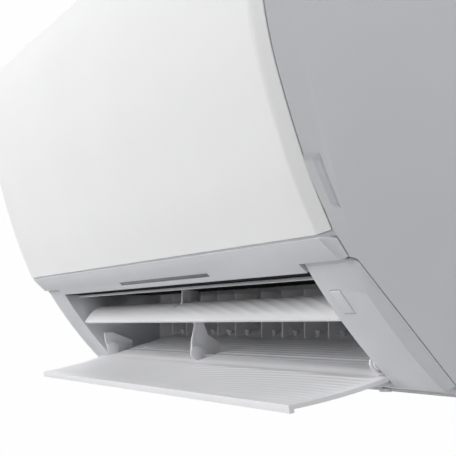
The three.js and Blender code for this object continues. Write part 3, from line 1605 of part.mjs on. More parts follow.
// The two copper pipes from the rear coil, down the right-hand bay and along the channel
// behind the fan housing to their nuts.
function pipes() {
  const [a, b, c, d] = coilCorners().rear;
  const onCoil = (share) => [
    (a[0] + d[0]) / 2 + ((b[0] + c[0] - a[0] - d[0]) / 2) * share,
    (a[1] + d[1]) / 2 + ((b[1] + c[1] - a[1] - d[1]) / 2) * share,
  ];
  const start = COIL_HALF + GAP;
  const route = (share, x, f, endF, endH) => {
    const [coilF, coilH] = onCoil(share);
    return [
      [start, coilF, coilH],
      [start + 4, coilF, coilH],
      [x, (coilF + f) / 2, coilH - 22],
      [x, f, FAN_H + 20],
      [x, f, FAN_H - 20],
      [x, (f + endF) / 2, endH + 36],
      [x - 6, endF, endH + 8],
      [x - 22, endF, endH],
      [PIPE_END_X, endF, endH],
    ];
  };
  const gas = pipe(
    route(0.9, END_WALL_OUTER + 9, 40, GAS_PIPE_F, GAS_PIPE_H),
    GAS_PIPE_RADIUS,
    PIPE_STEPS,
    8,
  );
  const liquid = pipe(
    route(0.3, END_WALL_OUTER + 5, 54, LIQUID_PIPE_F, LIQUID_PIPE_H),
    LIQUID_PIPE_RADIUS,
    PIPE_STEPS,
    6,
  );
  const nut = (radius, f, h) =>
    cut(
      barAlongX(f, h, radius * 2.2, PIPE_END_X - NUT_LENGTH, PIPE_END_X - GAP, 6),
      barAlongX(f, h, radius, PIPE_END_X - NUT_LENGTH / 2, PIPE_END_X + GAP, 16),
    );
  return [
    mesh("gas_pipe", gas, FINISH.copper),
    mesh("liquid_pipe", liquid, FINISH.copper),
    mesh("gas_flare_nut", nut(GAS_PIPE_RADIUS, GAS_PIPE_F, GAS_PIPE_H), FINISH.brass),
    mesh("liquid_flare_nut", nut(LIQUID_PIPE_RADIUS, LIQUID_PIPE_F, LIQUID_PIPE_H), FINISH.brass),
  ];
}

// ---------------------------------------------------------------- filters

// A filter: a fine sheet in a ribbed frame, up behind the front frame and back over the coil.
function filter(name, xFrom, xTo) {
  const inset = PANEL_RIM_DEPTH + FRAME_WALL + 2 * GAP;
  const front = between(
    offsetLine(panelLine(), inset),
    COIL_FOOT_H + WALL,
    PANEL_HINGE_H - FILTER_SHOULDER,
  );
  const topH = UNIT_HEIGHT - SIDE_WALL - GAP;
  const line = [
    ...front,
    [TOP_FRONT_F - 3 * FRAME_WALL, PANEL_HINGE_H],
    [GRILLE_FRONT_F, topH],
    [GRILLE_REAR_F, topH],
  ];
  const band = (near, far, x0, x1) => prism(stripProfile(line, near, far), x0, x1);
  const pitch = (xTo - xFrom - FILTER_FRAME) / FILTER_RIB_COUNT;
  const ribs = [];
  for (let i = 0; i <= FILTER_RIB_COUNT; i++) {
    const x = xFrom + i * pitch;
    ribs.push(band(0, FILTER_THICKNESS, x, x + FILTER_FRAME));
  }
  const sheet = band(FILTER_THICKNESS / 3, (FILTER_THICKNESS * 2) / 3, xFrom, xTo);
  return mesh(name, join(sheet, ...ribs), FINISH.filter);
}

// ---------------------------------------------------------------- electrics

function electrics() {
  const x0 = END_WALL_OUTER + BAY_GAP;
  const x1 = SIDE_INNER - BAY_GAP;
  const boxTop = BOX_H + BOX_HEIGHT;
  const frame = offsetLine(panelLine(), PANEL_RIM_DEPTH + GAP + FRAME_WALL);
  const boxFront = between(frame, BOX_H, boxTop)[0][0] - BOX_FRONT_ROOM;
  const box = join(
    cut(
      block(x0, x1, BOX_F, boxFront, BOX_H, boxTop),
      block(
        x0 + BOX_WALL,
        x1 - BOX_WALL,
        BOX_F + BOX_WALL,
        boxFront + WALL,
        BOX_H + BOX_WALL,
        boxTop - BOX_WALL,
      ),
    ),
    block(
      x1 - BOX_WALL,
      x1,
      CHASSIS_BACK_F + GAP,
      BOX_F + BOX_WALL,
      boxTop - BOX_ARM_HEIGHT,
      boxTop,
    ),
  );
  const cover = block(x0, x1, boxFront + GAP, boxFront + GAP + BOX_WALL, BOX_H, boxTop);
  const inset = BOX_WALL + GAP;
  const boardF = BOX_F + BOX_WALL + GAP;
  const chips = [
    [0.2, 0.2, 14, 18],
    [0.62, 0.3, 18, 10],
    [0.3, 0.68, 12, 22],
    [0.72, 0.72, 10, 14],
  ].map(([sx, sh, width, depth]) => {
    const x = x0 + (x1 - x0) * sx;
    const h = BOX_H + BOX_HEIGHT * sh;
    return block(x, x + width, boardF, boardF + depth, h, h + width);
  });
  const board = join(
    block(x0 + inset, x1 - inset, boardF, boardF + BOARD_THICKNESS, BOX_H + inset, boxTop - inset),
    ...chips,
  );
  const blockF = boxFront - TERMINAL_DEPTH;
  const terminalTop = BOX_H + inset + TERMINAL_HEIGHT;
  const terminal = cut(
    block(x0 + inset, x1 - inset, blockF, boxFront - GAP, BOX_H + inset, terminalTop),
    ...bankOfScrewHoles(x0 + inset, x1 - inset, blockF + TERMINAL_DEPTH / 2, terminalTop),
  );
  return [
    mesh("control_box", box, FINISH.steel),
    mesh("control_box_cover", cover, FINISH.steel),
    mesh("main_board", board, FINISH.board),
    mesh("terminal_block", terminal, FINISH.dark),
  ];
}

function bankOfScrewHoles(x0, x1, f, top) {
  const holes = [];
  for (let i = 0; i < TERMINAL_WAYS; i++) {
    const x = x0 + ((i + 0.5) / TERMINAL_WAYS) * (x1 - x0);
    holes.push(barUpright(x, f, SCREW_SHANK_RADIUS, top - TERMINAL_HEIGHT / 2, top + WALL, 8));
  }
  return holes;
}

// ---------------------------------------------------------------- vane motors

// A small stepper lying along X, with its output bore on the vane's pivot.
function vaneMotor(name, pivotF, pivotH, pinRadius) {
  const [inF, inH] = faceInward();
  const start = END_WALL_OUTER + GAP;
  const body = barAlongX(
    pivotF + inF * STEPPER_OFFSET,
    pivotH + inH * STEPPER_OFFSET,
    STEPPER_RADIUS,
    start,
    start + STEPPER_LENGTH,
    24,
  );
  const boreEnd = start + PIN_IN_MOTOR + GAP;
  const nose = barAlongX(
    pivotF,
    pivotH,
    pinRadius + GAP + STEPPER_NOSE_WALL,
    start,
    boreEnd + STEPPER_NOSE_WALL,
  );
  const bore = barAlongX(pivotF, pivotH, pinRadius + GAP, start - WALL, boreEnd);
  return mesh(name, cut(join(body, nose), bore), FINISH.steel);
}

// A small stepper standing under the duct floor on the first vane's pivot line.
function swingMotor(name, x) {
  const top = floorHeight(UPRIGHT_PIVOT_F + STEPPER_RADIUS) - WALL - 1.5 * GAP;
  const body = barUpright(x, UPRIGHT_PIVOT_F, STEPPER_RADIUS, top - STEPPER_LENGTH, top, 24);
  const boreEnd = floorHeight(UPRIGHT_PIVOT_F) - UPRIGHT_PIN_LENGTH - PIN_IN_MOTOR - GAP;
  const bore = barUpright(x, UPRIGHT_PIVOT_F, UPRIGHT_PIN_RADIUS + GAP, boreEnd, top + WALL, 12);
  return mesh(name, cut(body, bore), FINISH.steel);
}

// ---------------------------------------------------------------- button and screws

// A frame on the cheek's face at the push button: -Y points out of the face and Z up it.
function buttonFrame() {
  const [f, h] = facePoint(BUTTON_ALONG);
  const [[highF, highH], [lowF, lowH]] = faceLine(BUTTON_ALONG - 0.05, BUTTON_ALONG + 0.05, 1);
  const group = new THREE.Group();
  group.position.set(BUTTON_X, -f, h);
  group.rotation.x = Math.atan2(highF - lowF, highH - lowH);
  group.updateMatrix();
  return group;
}

function buttonWindow() {
  const hole = new THREE.BoxGeometry(
    BUTTON_WIDTH + 2 * GAP,
    6 * WALL,
    BUTTON_LENGTH + 2 * GAP,
  );
  hole.applyMatrix4(buttonFrame().matrix);
  return solidOf(hole);
}

function emergencyButton() {
  const group = buttonFrame();
  const flangeTop = WALL + GAP;
  const depth = BUTTON_PROUD + flangeTop + BUTTON_FLANGE;
  const capBox = new THREE.BoxGeometry(BUTTON_WIDTH, depth, BUTTON_LENGTH);
  capBox.translate(0, depth / 2 - BUTTON_PROUD, 0);
  const flangeBox = new THREE.BoxGeometry(
    BUTTON_WIDTH + 2 * WALL,
    BUTTON_FLANGE,
    BUTTON_LENGTH + 2 * WALL,
  );
  flangeBox.translate(0, flangeTop + BUTTON_FLANGE / 2, 0);
  group.add(mesh("emergency_button", join(solidOf(capBox), solidOf(flangeBox)), FINISH.trim));
  return group;
}

// Height of the lip's underside at a distance from the wall.
function lipUnderside(f) {
  const rearF = CHASSIS_FRONT_F + GAP;
  return BELLY_END_H + ((FACE_TOE_H - BELLY_END_H) * (f - rearF)) / (FACE_TOE_F - rearF);
}

function casingScrew(name, x) {
  const under = lipUnderside(SCREW_F - SCREW_HEAD_RADIUS) - GAP;
  const head = barUpright(x, SCREW_F, SCREW_HEAD_RADIUS, under - SCREW_HEAD, under, 16);
  const start = under - SCREW_HEAD / 2;
  const shank = barUpright(x, SCREW_F, SCREW_SHANK_RADIUS, start, start + SCREW_LENGTH, 10);
  return mesh(name, join(head, shank), FINISH.steel);
}

// ---------------------------------------------------------------- wall plate

function wallPlate() {
  const halfX = PLATE_WIDTH / 2;
  const low = PLATE_MIDDLE_H - PLATE_HEIGHT / 2;
  const high = PLATE_MIDDLE_H + PLATE_HEIGHT / 2;
  const sheet = block(-halfX, halfX, 0, PLATE_THICKNESS, low, high);
  const hooks = [-1, 1].map((side) => {
    const bottom = plateHookBottom();
    const reach = CHASSIS_BACK_F + GAP;
    return prism(
      [
        [PLATE_THICKNESS / 2, bottom],
        [reach + PLATE_THICKNESS, bottom],
        [reach + PLATE_THICKNESS, bottom + PLATE_HOOK_HEIGHT],
        [reach, bottom + PLATE_HOOK_HEIGHT],
        [reach, bottom + PLATE_THICKNESS],
        [PLATE_THICKNESS / 2, bottom + PLATE_THICKNESS],
      ],
      side * PLATE_HOOK_X - PLATE_HOOK_WIDTH / 2,
      side * PLATE_HOOK_X + PLATE_HOOK_WIDTH / 2,
    );
  });
  const holes = [];
  for (const h of [low + PLATE_EDGE, high - PLATE_EDGE])
    for (let i = 0; i < PLATE_HOLES; i++) {
      const x = -halfX + PLATE_EDGE + (i / (PLATE_HOLES - 1)) * 2 * (halfX - PLATE_EDGE);
      holes.push(barAlongF(x, h, PLATE_HOLE_RADIUS, -WALL, PLATE_THICKNESS + WALL, 10));
    }
  return mesh("wall_plate", cut(join(sheet, ...hooks), ...holes), FINISH.steel);
}

// ---------------------------------------------------------------- assembly

const unit = new THREE.Group();
unit.position.z = -PLATE_MIDDLE_H;
unit.add(
  wallPlate(),
  rearChassis(),
  bodyShell(),
  frontPanel(),
  displayStrip(),
  indicatorLens(),
  displayBoard(),
  outletFrame(),
  ductCeiling(),
  ceilingRail(),
  vaneStay("vane_stay_left", -STAY_END_X, false),
  vaneStay("vane_stay_middle", STAY_MIDDLE_X, true),
  vaneStay("vane_stay_right", STAY_END_X, false),
  lowerVane(),
  upperVane(),
  ...uprightBank("left", UPRIGHT_LEFT_FIRST_X, UPRIGHT_LEFT_COUNT),
  ...uprightBank("right", UPRIGHT_RIGHT_FIRST_X, UPRIGHT_RIGHT_COUNT),
  crossFlowFan(),
  ...fanDrive(),
  coil("evaporator_lower", coilCorners().lower, true),
  coil("evaporator_upper", coilCorners().upper, true),
  coil("evaporator_rear", coilCorners().rear, false),
  drainPan(),
  ...pipes(),
  filter("filter_left", -FILTER_HALF, -FILTER_MIDDLE_GAP / 2),
  filter("filter_right", FILTER_MIDDLE_GAP / 2, FILTER_HALF),
  ...electrics(),
  vaneMotor("vane_motor_upper", UPPER_PIVOT_F, UPPER_PIVOT_H, UPPER_PIN_RADIUS),
  vaneMotor("vane_motor_lower", LOWER_PIVOT_F, LOWER_PIVOT_H, LOWER_PIN_RADIUS),
  swingMotor("swing_motor_left", UPRIGHT_LEFT_FIRST_X),
  swingMotor("swing_motor_right", UPRIGHT_RIGHT_FIRST_X),
  emergencyButton(),
  casingScrew("casing_screw_left", -SCREW_X),
  casingScrew("casing_screw_right", SCREW_X),
);

export default unit;
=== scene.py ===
# %% [markdown]
# # An indoor unit on its own, dressed over its CAD model
# The unit hangs on a wall: a glossy curved panel, satin sides, and a low outlet whose
# two long vanes stand open. The CAD model gives every piece its place and its joints.
# Here the pieces get smooth surfaces, fine detail and finishes, in the same metres.

# %% Frame and first measures
import json
import math

import bmesh
import bpy
import numpy as np
from mathutils import Matrix

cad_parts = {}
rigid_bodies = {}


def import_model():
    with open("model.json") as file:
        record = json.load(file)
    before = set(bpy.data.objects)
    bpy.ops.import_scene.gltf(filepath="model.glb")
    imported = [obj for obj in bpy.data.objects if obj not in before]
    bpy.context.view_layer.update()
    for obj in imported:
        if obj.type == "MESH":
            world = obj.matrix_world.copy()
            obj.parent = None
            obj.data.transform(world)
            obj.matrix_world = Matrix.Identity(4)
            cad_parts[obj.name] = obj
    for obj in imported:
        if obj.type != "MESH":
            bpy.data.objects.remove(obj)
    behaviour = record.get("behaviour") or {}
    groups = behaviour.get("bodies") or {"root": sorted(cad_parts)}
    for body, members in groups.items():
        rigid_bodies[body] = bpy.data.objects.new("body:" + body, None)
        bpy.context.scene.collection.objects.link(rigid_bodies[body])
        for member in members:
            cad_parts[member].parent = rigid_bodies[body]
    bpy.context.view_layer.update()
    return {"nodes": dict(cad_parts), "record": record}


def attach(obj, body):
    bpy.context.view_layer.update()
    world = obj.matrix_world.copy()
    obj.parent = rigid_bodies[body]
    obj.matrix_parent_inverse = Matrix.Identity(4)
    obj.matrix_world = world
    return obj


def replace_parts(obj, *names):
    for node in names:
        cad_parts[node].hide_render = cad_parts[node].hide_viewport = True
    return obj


for leftover in list(bpy.data.objects):
    bpy.data.objects.remove(leftover)
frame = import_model()
nodes = frame["nodes"]
body_of_node = {
    node: body
    for body, members in frame["record"]["behaviour"]["bodies"].items()
    for node in members
}
slot_of_node = {part["node"]: part["material_slot"] for part in frame["record"]["subparts"]}

# %% [markdown]
# ## Where things are
# The maker's drawing counts three ways: x along the unit, f out from the wall, and h up
# from the underside. One helper turns such millimetres into the frame's metres, so every
# number below can be read against the drawing.

# %% Drawing places
PLATE_MIDDLE = 150.0
MM = 0.001


def place(x, f, h):
    """Metres in the frame: x to the right, minus f for depth, and h less the plate's middle for height."""
    x, f, h = np.broadcast_arrays(*(np.asarray(v, float) for v in (x, f, h)))
    return np.stack([x, -f, h - PLATE_MIDDLE], axis=-1) * MM


HALF_WIDTH = 435.0
EDGE_INSET = 7.0
PANEL_LINE = [
    (214.6, 85.3), (229.4, 120.9), (245.1, 171.4), (252.1, 207.0), (255.0, 240.0),
    (253.6, 265.0), (247.0, 286.0), (237.0, 294.0), (226.0, 295.0),
]
print("unit", 2 * HALF_WIDTH, "mm wide, panel line through", len(PANEL_LINE), "points")

# %% [markdown]
# ## Camera
# The photograph looks along the front from beyond the right end, from a little below. The
# three directions of the view and its place were solved from the outlines of both ends.

# %% Camera
camera = bpy.data.objects.new("camera", bpy.data.cameras.new("camera"))
bpy.context.scene.collection.objects.link(camera)
camera.data.lens = 142.57
camera.data.sensor_width = 36.0
camera.data.clip_end = 60.0
view_right = (0.27372, 0.96181, 0.0)
view_up = (0.05222, -0.01486, 0.99852)
view_back = (0.96039, -0.27332, -0.05430)
view_place = (1.3027, -0.510, -0.111)


def placed(right, up, back, middle):
    """A matrix whose columns are three directions and a place."""
    return Matrix([list(row) for row in zip(right, up, back, middle)] + [[0.0, 0.0, 0.0, 1.0]])


camera.matrix_world = placed(view_right, view_up, view_back, view_place)
bpy.context.scene.camera = camera
bpy.context.scene.view_settings.view_transform = "Standard"
print("camera at", view_place, "lens", camera.data.lens)

# %% [markdown]
# ## Light and floor
# A plain studio: one broad soft lamp in front on the left, one above the right side, a weak
# one at the outlet's own height that reaches into it, and one behind.

# %% Lamps


def lamp(name, place_m, aim_m, size, power):
    """A square area lamp at one point that faces another, with its side in metres and power in watts."""
    light = bpy.data.lights.new(name, "AREA")
    light.shape = "SQUARE"
    light.size = size
    light.energy = power
    item = bpy.data.objects.new(name, light)
    bpy.context.scene.collection.objects.link(item)
    back = np.array(place_m, float) - np.array(aim_m, float)
    back /= np.linalg.norm(back)
    side = np.cross([0.0, 0.0, 1.0], back)
    side /= np.linalg.norm(side)
    item.matrix_world = placed(side, np.cross(back, side), back, place_m)


lamp("key_lamp", (-1.1, -2.9, 1.5), (0.0, -0.15, 0.0), 2.2, 73.0)
lamp("side_lamp", (2.8, -0.9, 1.2), (0.0, -0.15, -0.08), 1.6, 30.0)
lamp("outlet_lamp", (0.2, -3.2, -0.1), (0.0, -0.15, -0.08), 1.6, 13.0)
lamp("back_lamp", (1.4, 2.6, 1.6), (0.0, -0.1, 0.0), 2.2, 16.0)
print("lamps", [light.name for light in bpy.data.lights])

# %% [markdown]
# A faint even surround fills the shadows. The floor lies far below, as under a unit on a
# wall. Both look pale to the camera without adding light: each mixes two shaders, and the
# pale one answers only rays that come from the camera, a mirror or glass.

# %% Surround and floor


def emptied(tree, *kinds):
    """New nodes of those kinds, the only ones in their tree."""
    tree.nodes.clear()
    return [tree.nodes.new("ShaderNode" + kind) for kind in kinds]


def seen_directly(tree):
    """A value that is 1 for rays that come from the camera, a mirror or glass, and 0 for light."""
    path = tree.nodes.new("ShaderNodeLightPath")
    seen = path.outputs["Is Camera Ray"]
    for kind in ("Is Glossy Ray", "Is Transmission Ray"):
        either = tree.nodes.new("ShaderNodeMath")
        either.operation = "MAXIMUM"
        tree.links.new(seen, either.inputs[0])
        tree.links.new(path.outputs[kind], either.inputs[1])
        seen = either.outputs[0]
    return seen


def chosen_by(tree, share, first, second, chosen, out):
    """Leads a mix of two shaders to the output: the first at a share of 0, the second at 1."""
    tree.links.new(share, chosen.inputs[0])
    tree.links.new(first.outputs[0], chosen.inputs[1])
    tree.links.new(second.outputs[0], chosen.inputs[2])
    tree.links.new(chosen.outputs[0], out.inputs[0])


SURROUND_STRENGTH, FLOOR_SIDE, FLOOR_Z, FLOOR_GLOW = 0.10, 24.0, -1.6, 0.8
world = bpy.data.worlds.new("surround")
bpy.context.scene.world = world
world.use_nodes = True
tree = world.node_tree
surround, pale, chosen, out = emptied(tree, "Background", "Background", "MixShader", "OutputWorld")
surround.inputs["Color"].default_value = (0.965, 0.98, 1.0, 1.0)
surround.inputs["Strength"].default_value = SURROUND_STRENGTH
pale.inputs["Color"].default_value = (0.99, 0.99, 0.99, 1.0)
chosen_by(tree, seen_directly(tree), surround, pale, chosen, out)

bpy.ops.mesh.primitive_grid_add(
    size=FLOOR_SIDE, x_subdivisions=4, y_subdivisions=4, location=(0.0, 0.0, FLOOR_Z)
)
floor = bpy.context.object
floor.name = "floor"
floor_finish = bpy.data.materials.new("pale_floor")
floor_finish.use_nodes = True
tree = floor_finish.node_tree
matt, glow, chosen, out, share = emptied(
    tree, "BsdfDiffuse", "Emission", "MixShader", "OutputMaterial", "Math"
)
matt.inputs["Color"].default_value = (0.88, 0.88, 0.88, 1.0)
glow.inputs["Color"].default_value = (1.0, 1.0, 1.0, 1.0)
share.operation = "MULTIPLY"
share.inputs[1].default_value = FLOOR_GLOW
tree.links.new(seen_directly(tree), share.inputs[0])
chosen_by(tree, share.outputs[0], matt, glow, chosen, out)
floor.data.materials.append(floor_finish)
print("floor at", floor.location.z, "m")

# %% [markdown]
# ## Finishes: a few kinds of node
# A material is a tree of nodes. It could be drawn by hand, but the same few kinds come back
# in every finish here: cloudy noise, ramps, blends, sums, dents and stripes. A small class
# makes each kind in one line. All of them read object coordinates, so a pattern keeps its
# real size on every piece.

# %% Nodes of a finish
WAVE_TURN = 20.0


def linear(colour):
    """The screen's colour numbers as amounts of light, by the screen's own curve."""
    c = np.asarray(colour, float)
    return tuple(np.where(c <= 0.04045, c / 12.92, ((c + 0.055) / 1.055) ** 2.4)) + (1.0,)


class Finish:
    """A material under way: its nodes, its links and the shader that they feed."""

    def __init__(self, name):
        self.material = bpy.data.materials.new(name)
        self.material.use_nodes = True
        self.tree = self.material.node_tree
        self.shader = self.tree.nodes["Principled BSDF"]
        self.place = self.tree.nodes.new("ShaderNodeTexCoord").outputs["Object"]

    def link(self, start, end):
        self.tree.links.new(start, end)

    def noise(self, scale, detail=2.0, place=None):
        """Cloudy noise with that many features to the metre."""
        node = self.tree.nodes.new("ShaderNodeTexNoise")
        node.inputs["Scale"].default_value = scale
        node.inputs["Detail"].default_value = detail
        self.link(place or self.place, node.inputs["Vector"])
        return node.outputs["Fac"]

    def ramp(self, value, low, high, start=0.0, end=1.0):
        """Numbers from start to end as a value goes from low to high."""
        node = self.tree.nodes.new("ShaderNodeMapRange")
        node.clamp = True
        for socket, number in (("From Min", low), ("From Max", high), ("To Min", start), ("To Max", end)):
            node.inputs[socket].default_value = number
        self.link(value, node.inputs["Value"])
        return node.outputs["Result"]

    def blend(self, share, first, second):
        """A colour between two, each a colour or a socket."""
        node = self.tree.nodes.new("ShaderNodeMix")
        node.data_type = "RGBA"
        self.link(share, node.inputs["Factor"])
        for socket, colour in (("A", first), ("B", second)):
            end = next(s for s in node.inputs if s.name == socket and s.type == "RGBA")
            if isinstance(colour, tuple):
                end.default_value = colour
            else:
                self.link(colour, end)
        return next(s for s in node.outputs if s.type == "RGBA")

    def maths(self, operation, first, second=None):
        """One sum on one or two values, each a number or a socket."""
        node = self.tree.nodes.new("ShaderNodeMath")
        node.operation = operation
        for socket, value in zip(node.inputs, (first, second)):
            if value is None:
                continue
            if isinstance(value, (int, float)):
                socket.default_value = value
            else:
                self.link(value, socket)
        return node.outputs[0]

    def bump(self, height, depth_mm, strength=1.0):
        """Dents of that depth where the height is low."""
        node = self.tree.nodes.new("ShaderNodeBump")
        node.inputs["Distance"].default_value = depth_mm * MM
        node.inputs["Strength"].default_value = strength
        self.link(height, node.inputs["Height"])
        return node.outputs["Normal"]

    def stripes(self, axis, pitch_mm):
        """A sine wave along one axis with that pitch, from 0 to 1. The node turns 20 radians in a unit."""
        node = self.tree.nodes.new("ShaderNodeTexWave")
        node.bands_direction = axis
        node.inputs["Scale"].default_value = 2 * math.pi / (WAVE_TURN * pitch_mm * MM)
        self.link(self.place, node.inputs["Vector"])
        return node.outputs["Fac"]


print("a middle grey gives off", round(float(linear((0.5, 0.5, 0.5))[0]), 3), "of the light")

# %% [markdown]
# ## Finishes: moulded plastic
# Moulded plastic isn't one flat colour. It has a faint cloudiness from the mould, a fine
# spark-eroded grain where it is satin and almost none where it is glossy, and a gloss
# that wanders a little. A photograph of plastic would show its own light and its seams, so
# three noise textures give these instead: one for the cloud, one for the gloss and one for
# the grain.

# %% Moulded plastic
CLOUDS, GLOSS_PATCHES = 7.0, 60.0  # to the metre
GLOSS_SWING, COAT_ROUGHNESS = 0.03, 0.12


def moulded(name, colour, roughness, grain_mm=0.6, grain_depth=0.02, cloud=0.02, coat=0.0, shine=0.5):
    """Moulded plastic: two near colours mixed by a large cloud, a gloss that wanders, and a fine grain."""
    made = Finish(name)
    dark = tuple(c * (1 - 2 * cloud) for c in colour)
    base = made.blend(made.ramp(made.noise(CLOUDS, 3.0), 0.35, 0.65), linear(dark), linear(colour))
    made.link(base, made.shader.inputs["Base Color"])
    gloss = made.ramp(made.noise(GLOSS_PATCHES), 0.3, 0.7, roughness - GLOSS_SWING, roughness + GLOSS_SWING)
    made.link(gloss, made.shader.inputs["Roughness"])
    if grain_depth > 0:
        grain = made.noise(1.0 / (grain_mm * MM), 1.0)
        made.link(made.bump(grain, grain_depth, 0.5), made.shader.inputs["Normal"])
    made.shader.inputs["Specular IOR Level"].default_value = shine
    made.shader.inputs["Coat Weight"].default_value = coat
    made.shader.inputs["Coat Roughness"].default_value = COAT_ROUGHNESS
    return made.material


finishes = {
    "panel": moulded("panel_gloss", (0.95, 0.95, 0.952), 0.32, 3.0, 0.0, 0.004, 0.2),
    "body": moulded("body_satin", (0.90, 0.91, 0.92), 0.55, 0.7, 0.012, 0.008),
    "trim": moulded("trim_satin", (0.845, 0.85, 0.865), 0.5, 0.8, 0.01, 0.008),
    "vane": moulded("vane_satin", (0.96, 0.96, 0.967), 0.42, 0.8, 0.006, 0.008),
    "upright": moulded("upright_satin", (0.96, 0.96, 0.967), 0.5, 0.8, 0.006, 0.01),
    "dark": moulded("dark_matt", (0.09, 0.09, 0.095), 0.9, 0.7, 0.01, 0.05, shine=0.05),
    "chassis": moulded("chassis_matt", (0.95, 0.95, 0.955), 0.6, 0.9, 0.03, 0.01),
    "foam": moulded("foam_white", (0.90, 0.90, 0.885), 0.9, 2.2, 0.25, 0.03),
    "rubber": moulded("rubber_black", (0.13, 0.13, 0.13), 0.8, 0.5, 0.03, 0.06),
    "lens": moulded("smoked_lens", (0.40, 0.405, 0.42), 0.4, 1.5, 0.001, 0.05, shine=0.2),
}
print("plastics", sorted(finishes))

# %% [markdown]
# ## Finishes: bare metal
# The wall plate is zinc-coated sheet, which shows pale crystals. The pipes are copper and
# their nuts turned brass, both with stains. Plain metal would look like a mirror, so cells
# of a Voronoi texture and some noise shift the colour, the gloss and the relief together.

# %% Metals
STAINS, PATCH_SHARE = 30.0, 0.6  # stains to the metre, and the part each pattern takes
DULLER, BRIGHTER = 0.1, 0.06


def metal(name, light, dark, roughness, cell_mm, grain=(1.0, 1.0, 1.0)):
    """Bare metal: crystals or stains of one size between two colours, with a gloss that follows."""
    made = Finish(name)
    turn = made.tree.nodes.new("ShaderNodeMapping")
    turn.inputs["Scale"].default_value = grain
    made.link(made.place, turn.inputs["Vector"])
    cells = made.tree.nodes.new("ShaderNodeTexVoronoi")
    cells.inputs["Scale"].default_value = 1.0 / (cell_mm * MM)
    made.link(turn.outputs[0], cells.inputs["Vector"])
    crystals = made.maths("MULTIPLY", cells.outputs["Distance"], PATCH_SHARE)
    stains = made.maths("MULTIPLY", made.noise(STAINS, 4.0, turn.outputs[0]), PATCH_SHARE)
    patch = made.maths("ADD", crystals, stains)
    share = made.ramp(patch, 0.2, 0.8)
    made.link(made.blend(share, linear(dark), linear(light)), made.shader.inputs["Base Color"])
    gloss = made.ramp(patch, 0.2, 0.8, roughness + DULLER, roughness - BRIGHTER)
    made.link(gloss, made.shader.inputs["Roughness"])
    made.link(made.bump(patch, 0.02, 0.4), made.shader.inputs["Normal"])
    made.shader.inputs["Metallic"].default_value = 1.0
    return made.material


finishes["steel"] = metal("zinc_sheet", (0.80, 0.82, 0.83), (0.66, 0.68, 0.70), 0.42, 6.0)
finishes["copper"] = metal("copper_tube", (0.86, 0.52, 0.36), (0.62, 0.34, 0.22), 0.34, 9.0)
finishes["brass"] = metal(
    "turned_brass", (0.86, 0.74, 0.44), (0.72, 0.58, 0.30), 0.3, 3.0, (6.0, 1.0, 1.0)
)
print("with metals", sorted(finishes))

# %% [markdown]
# ## Finishes: the finned blocks
# A heat exchanger is hundreds of thin fins on copper tubes, whose bends stand out at both
# ends. Hundreds of fins as solids would be costly for what shows behind a filter, so the
# block is one piece with stripes at the fins' pitch, pale for the fins and painted shade in
# the gaps between them, and turns to copper past the last fin.

# %% Fins with copper ends
FIN_PITCH, FIN_RELIEF = 1.6, 0.5
FIN_END = 344.2 * MM
fins = Finish("fins_and_bends")
fin_wave = fins.stripes("X", FIN_PITCH)
along = fins.tree.nodes.new("ShaderNodeSeparateXYZ")
fins.link(fins.place, along.inputs[0])
past_end = fins.maths("GREATER_THAN", fins.maths("ABSOLUTE", along.outputs["X"]), FIN_END)
# Pale stripes are the fins; the dark stripes between them are painted shade in the gaps.
fins_and_painted_gap_shade = fins.blend(fin_wave, linear((0.42, 0.45, 0.48)), linear((0.86, 0.88, 0.90)))
stain = fins.blend(fins.noise(22.0, 3.0), linear((0.60, 0.33, 0.21)), linear((0.87, 0.54, 0.38)))
fins.link(fins.blend(past_end, fins_and_painted_gap_shade, stain), fins.shader.inputs["Base Color"])
fins.link(fins.ramp(fins.noise(90.0), 0.3, 0.7, 0.34, 0.5), fins.shader.inputs["Roughness"])
relief = fins.maths("MULTIPLY", fin_wave, fins.maths("SUBTRACT", 1.0, past_end))
fins.link(fins.bump(relief, FIN_RELIEF), fins.shader.inputs["Normal"])
fins.shader.inputs["Metallic"].default_value = 1.0
finishes["aluminium"] = fins.material
print("fins every", FIN_PITCH, "mm, up to", FIN_END, "m from the middle")

# %% [markdown]
# ## Finishes: the filter
# The filter is a cloth of fine threads in a plastic frame. It is seen whole, from further
# off, so two crossed sets of stripes give grey threads on a plain sheet, with painted shade
# in the openings between them.

# %% Filter mesh
THREAD_PITCH, THREAD_RELIEF = 2.4, 0.4
mesh_finish = Finish("filter_mesh")
threads = mesh_finish.maths(
    "MAXIMUM", mesh_finish.stripes("X", THREAD_PITCH), mesh_finish.stripes("Z", THREAD_PITCH)
)
# Grey where the threads are, and painted shade in the openings between them.
threads_over_painted_shade = mesh_finish.ramp(threads, 0.6, 0.9)
mesh_finish.link(
    mesh_finish.blend(threads_over_painted_shade, linear((0.12, 0.13, 0.14)), linear((0.40, 0.42, 0.45))),
    mesh_finish.shader.inputs["Base Color"],
)
mesh_finish.link(mesh_finish.bump(threads, THREAD_RELIEF), mesh_finish.shader.inputs["Normal"])
mesh_gloss = mesh_finish.ramp(mesh_finish.noise(80.0), 0.3, 0.7, 0.6, 0.75)
mesh_finish.link(mesh_gloss, mesh_finish.shader.inputs["Roughness"])
finishes["filter"] = mesh_finish.material
print("threads every", THREAD_PITCH, "mm")

# %% [markdown]
# ## Finishes: the boards
# A circuit board is green lacquer over copper tracks, with pale joints of solder. A brick
# texture gives the tracks, and fine noise picks the joints.

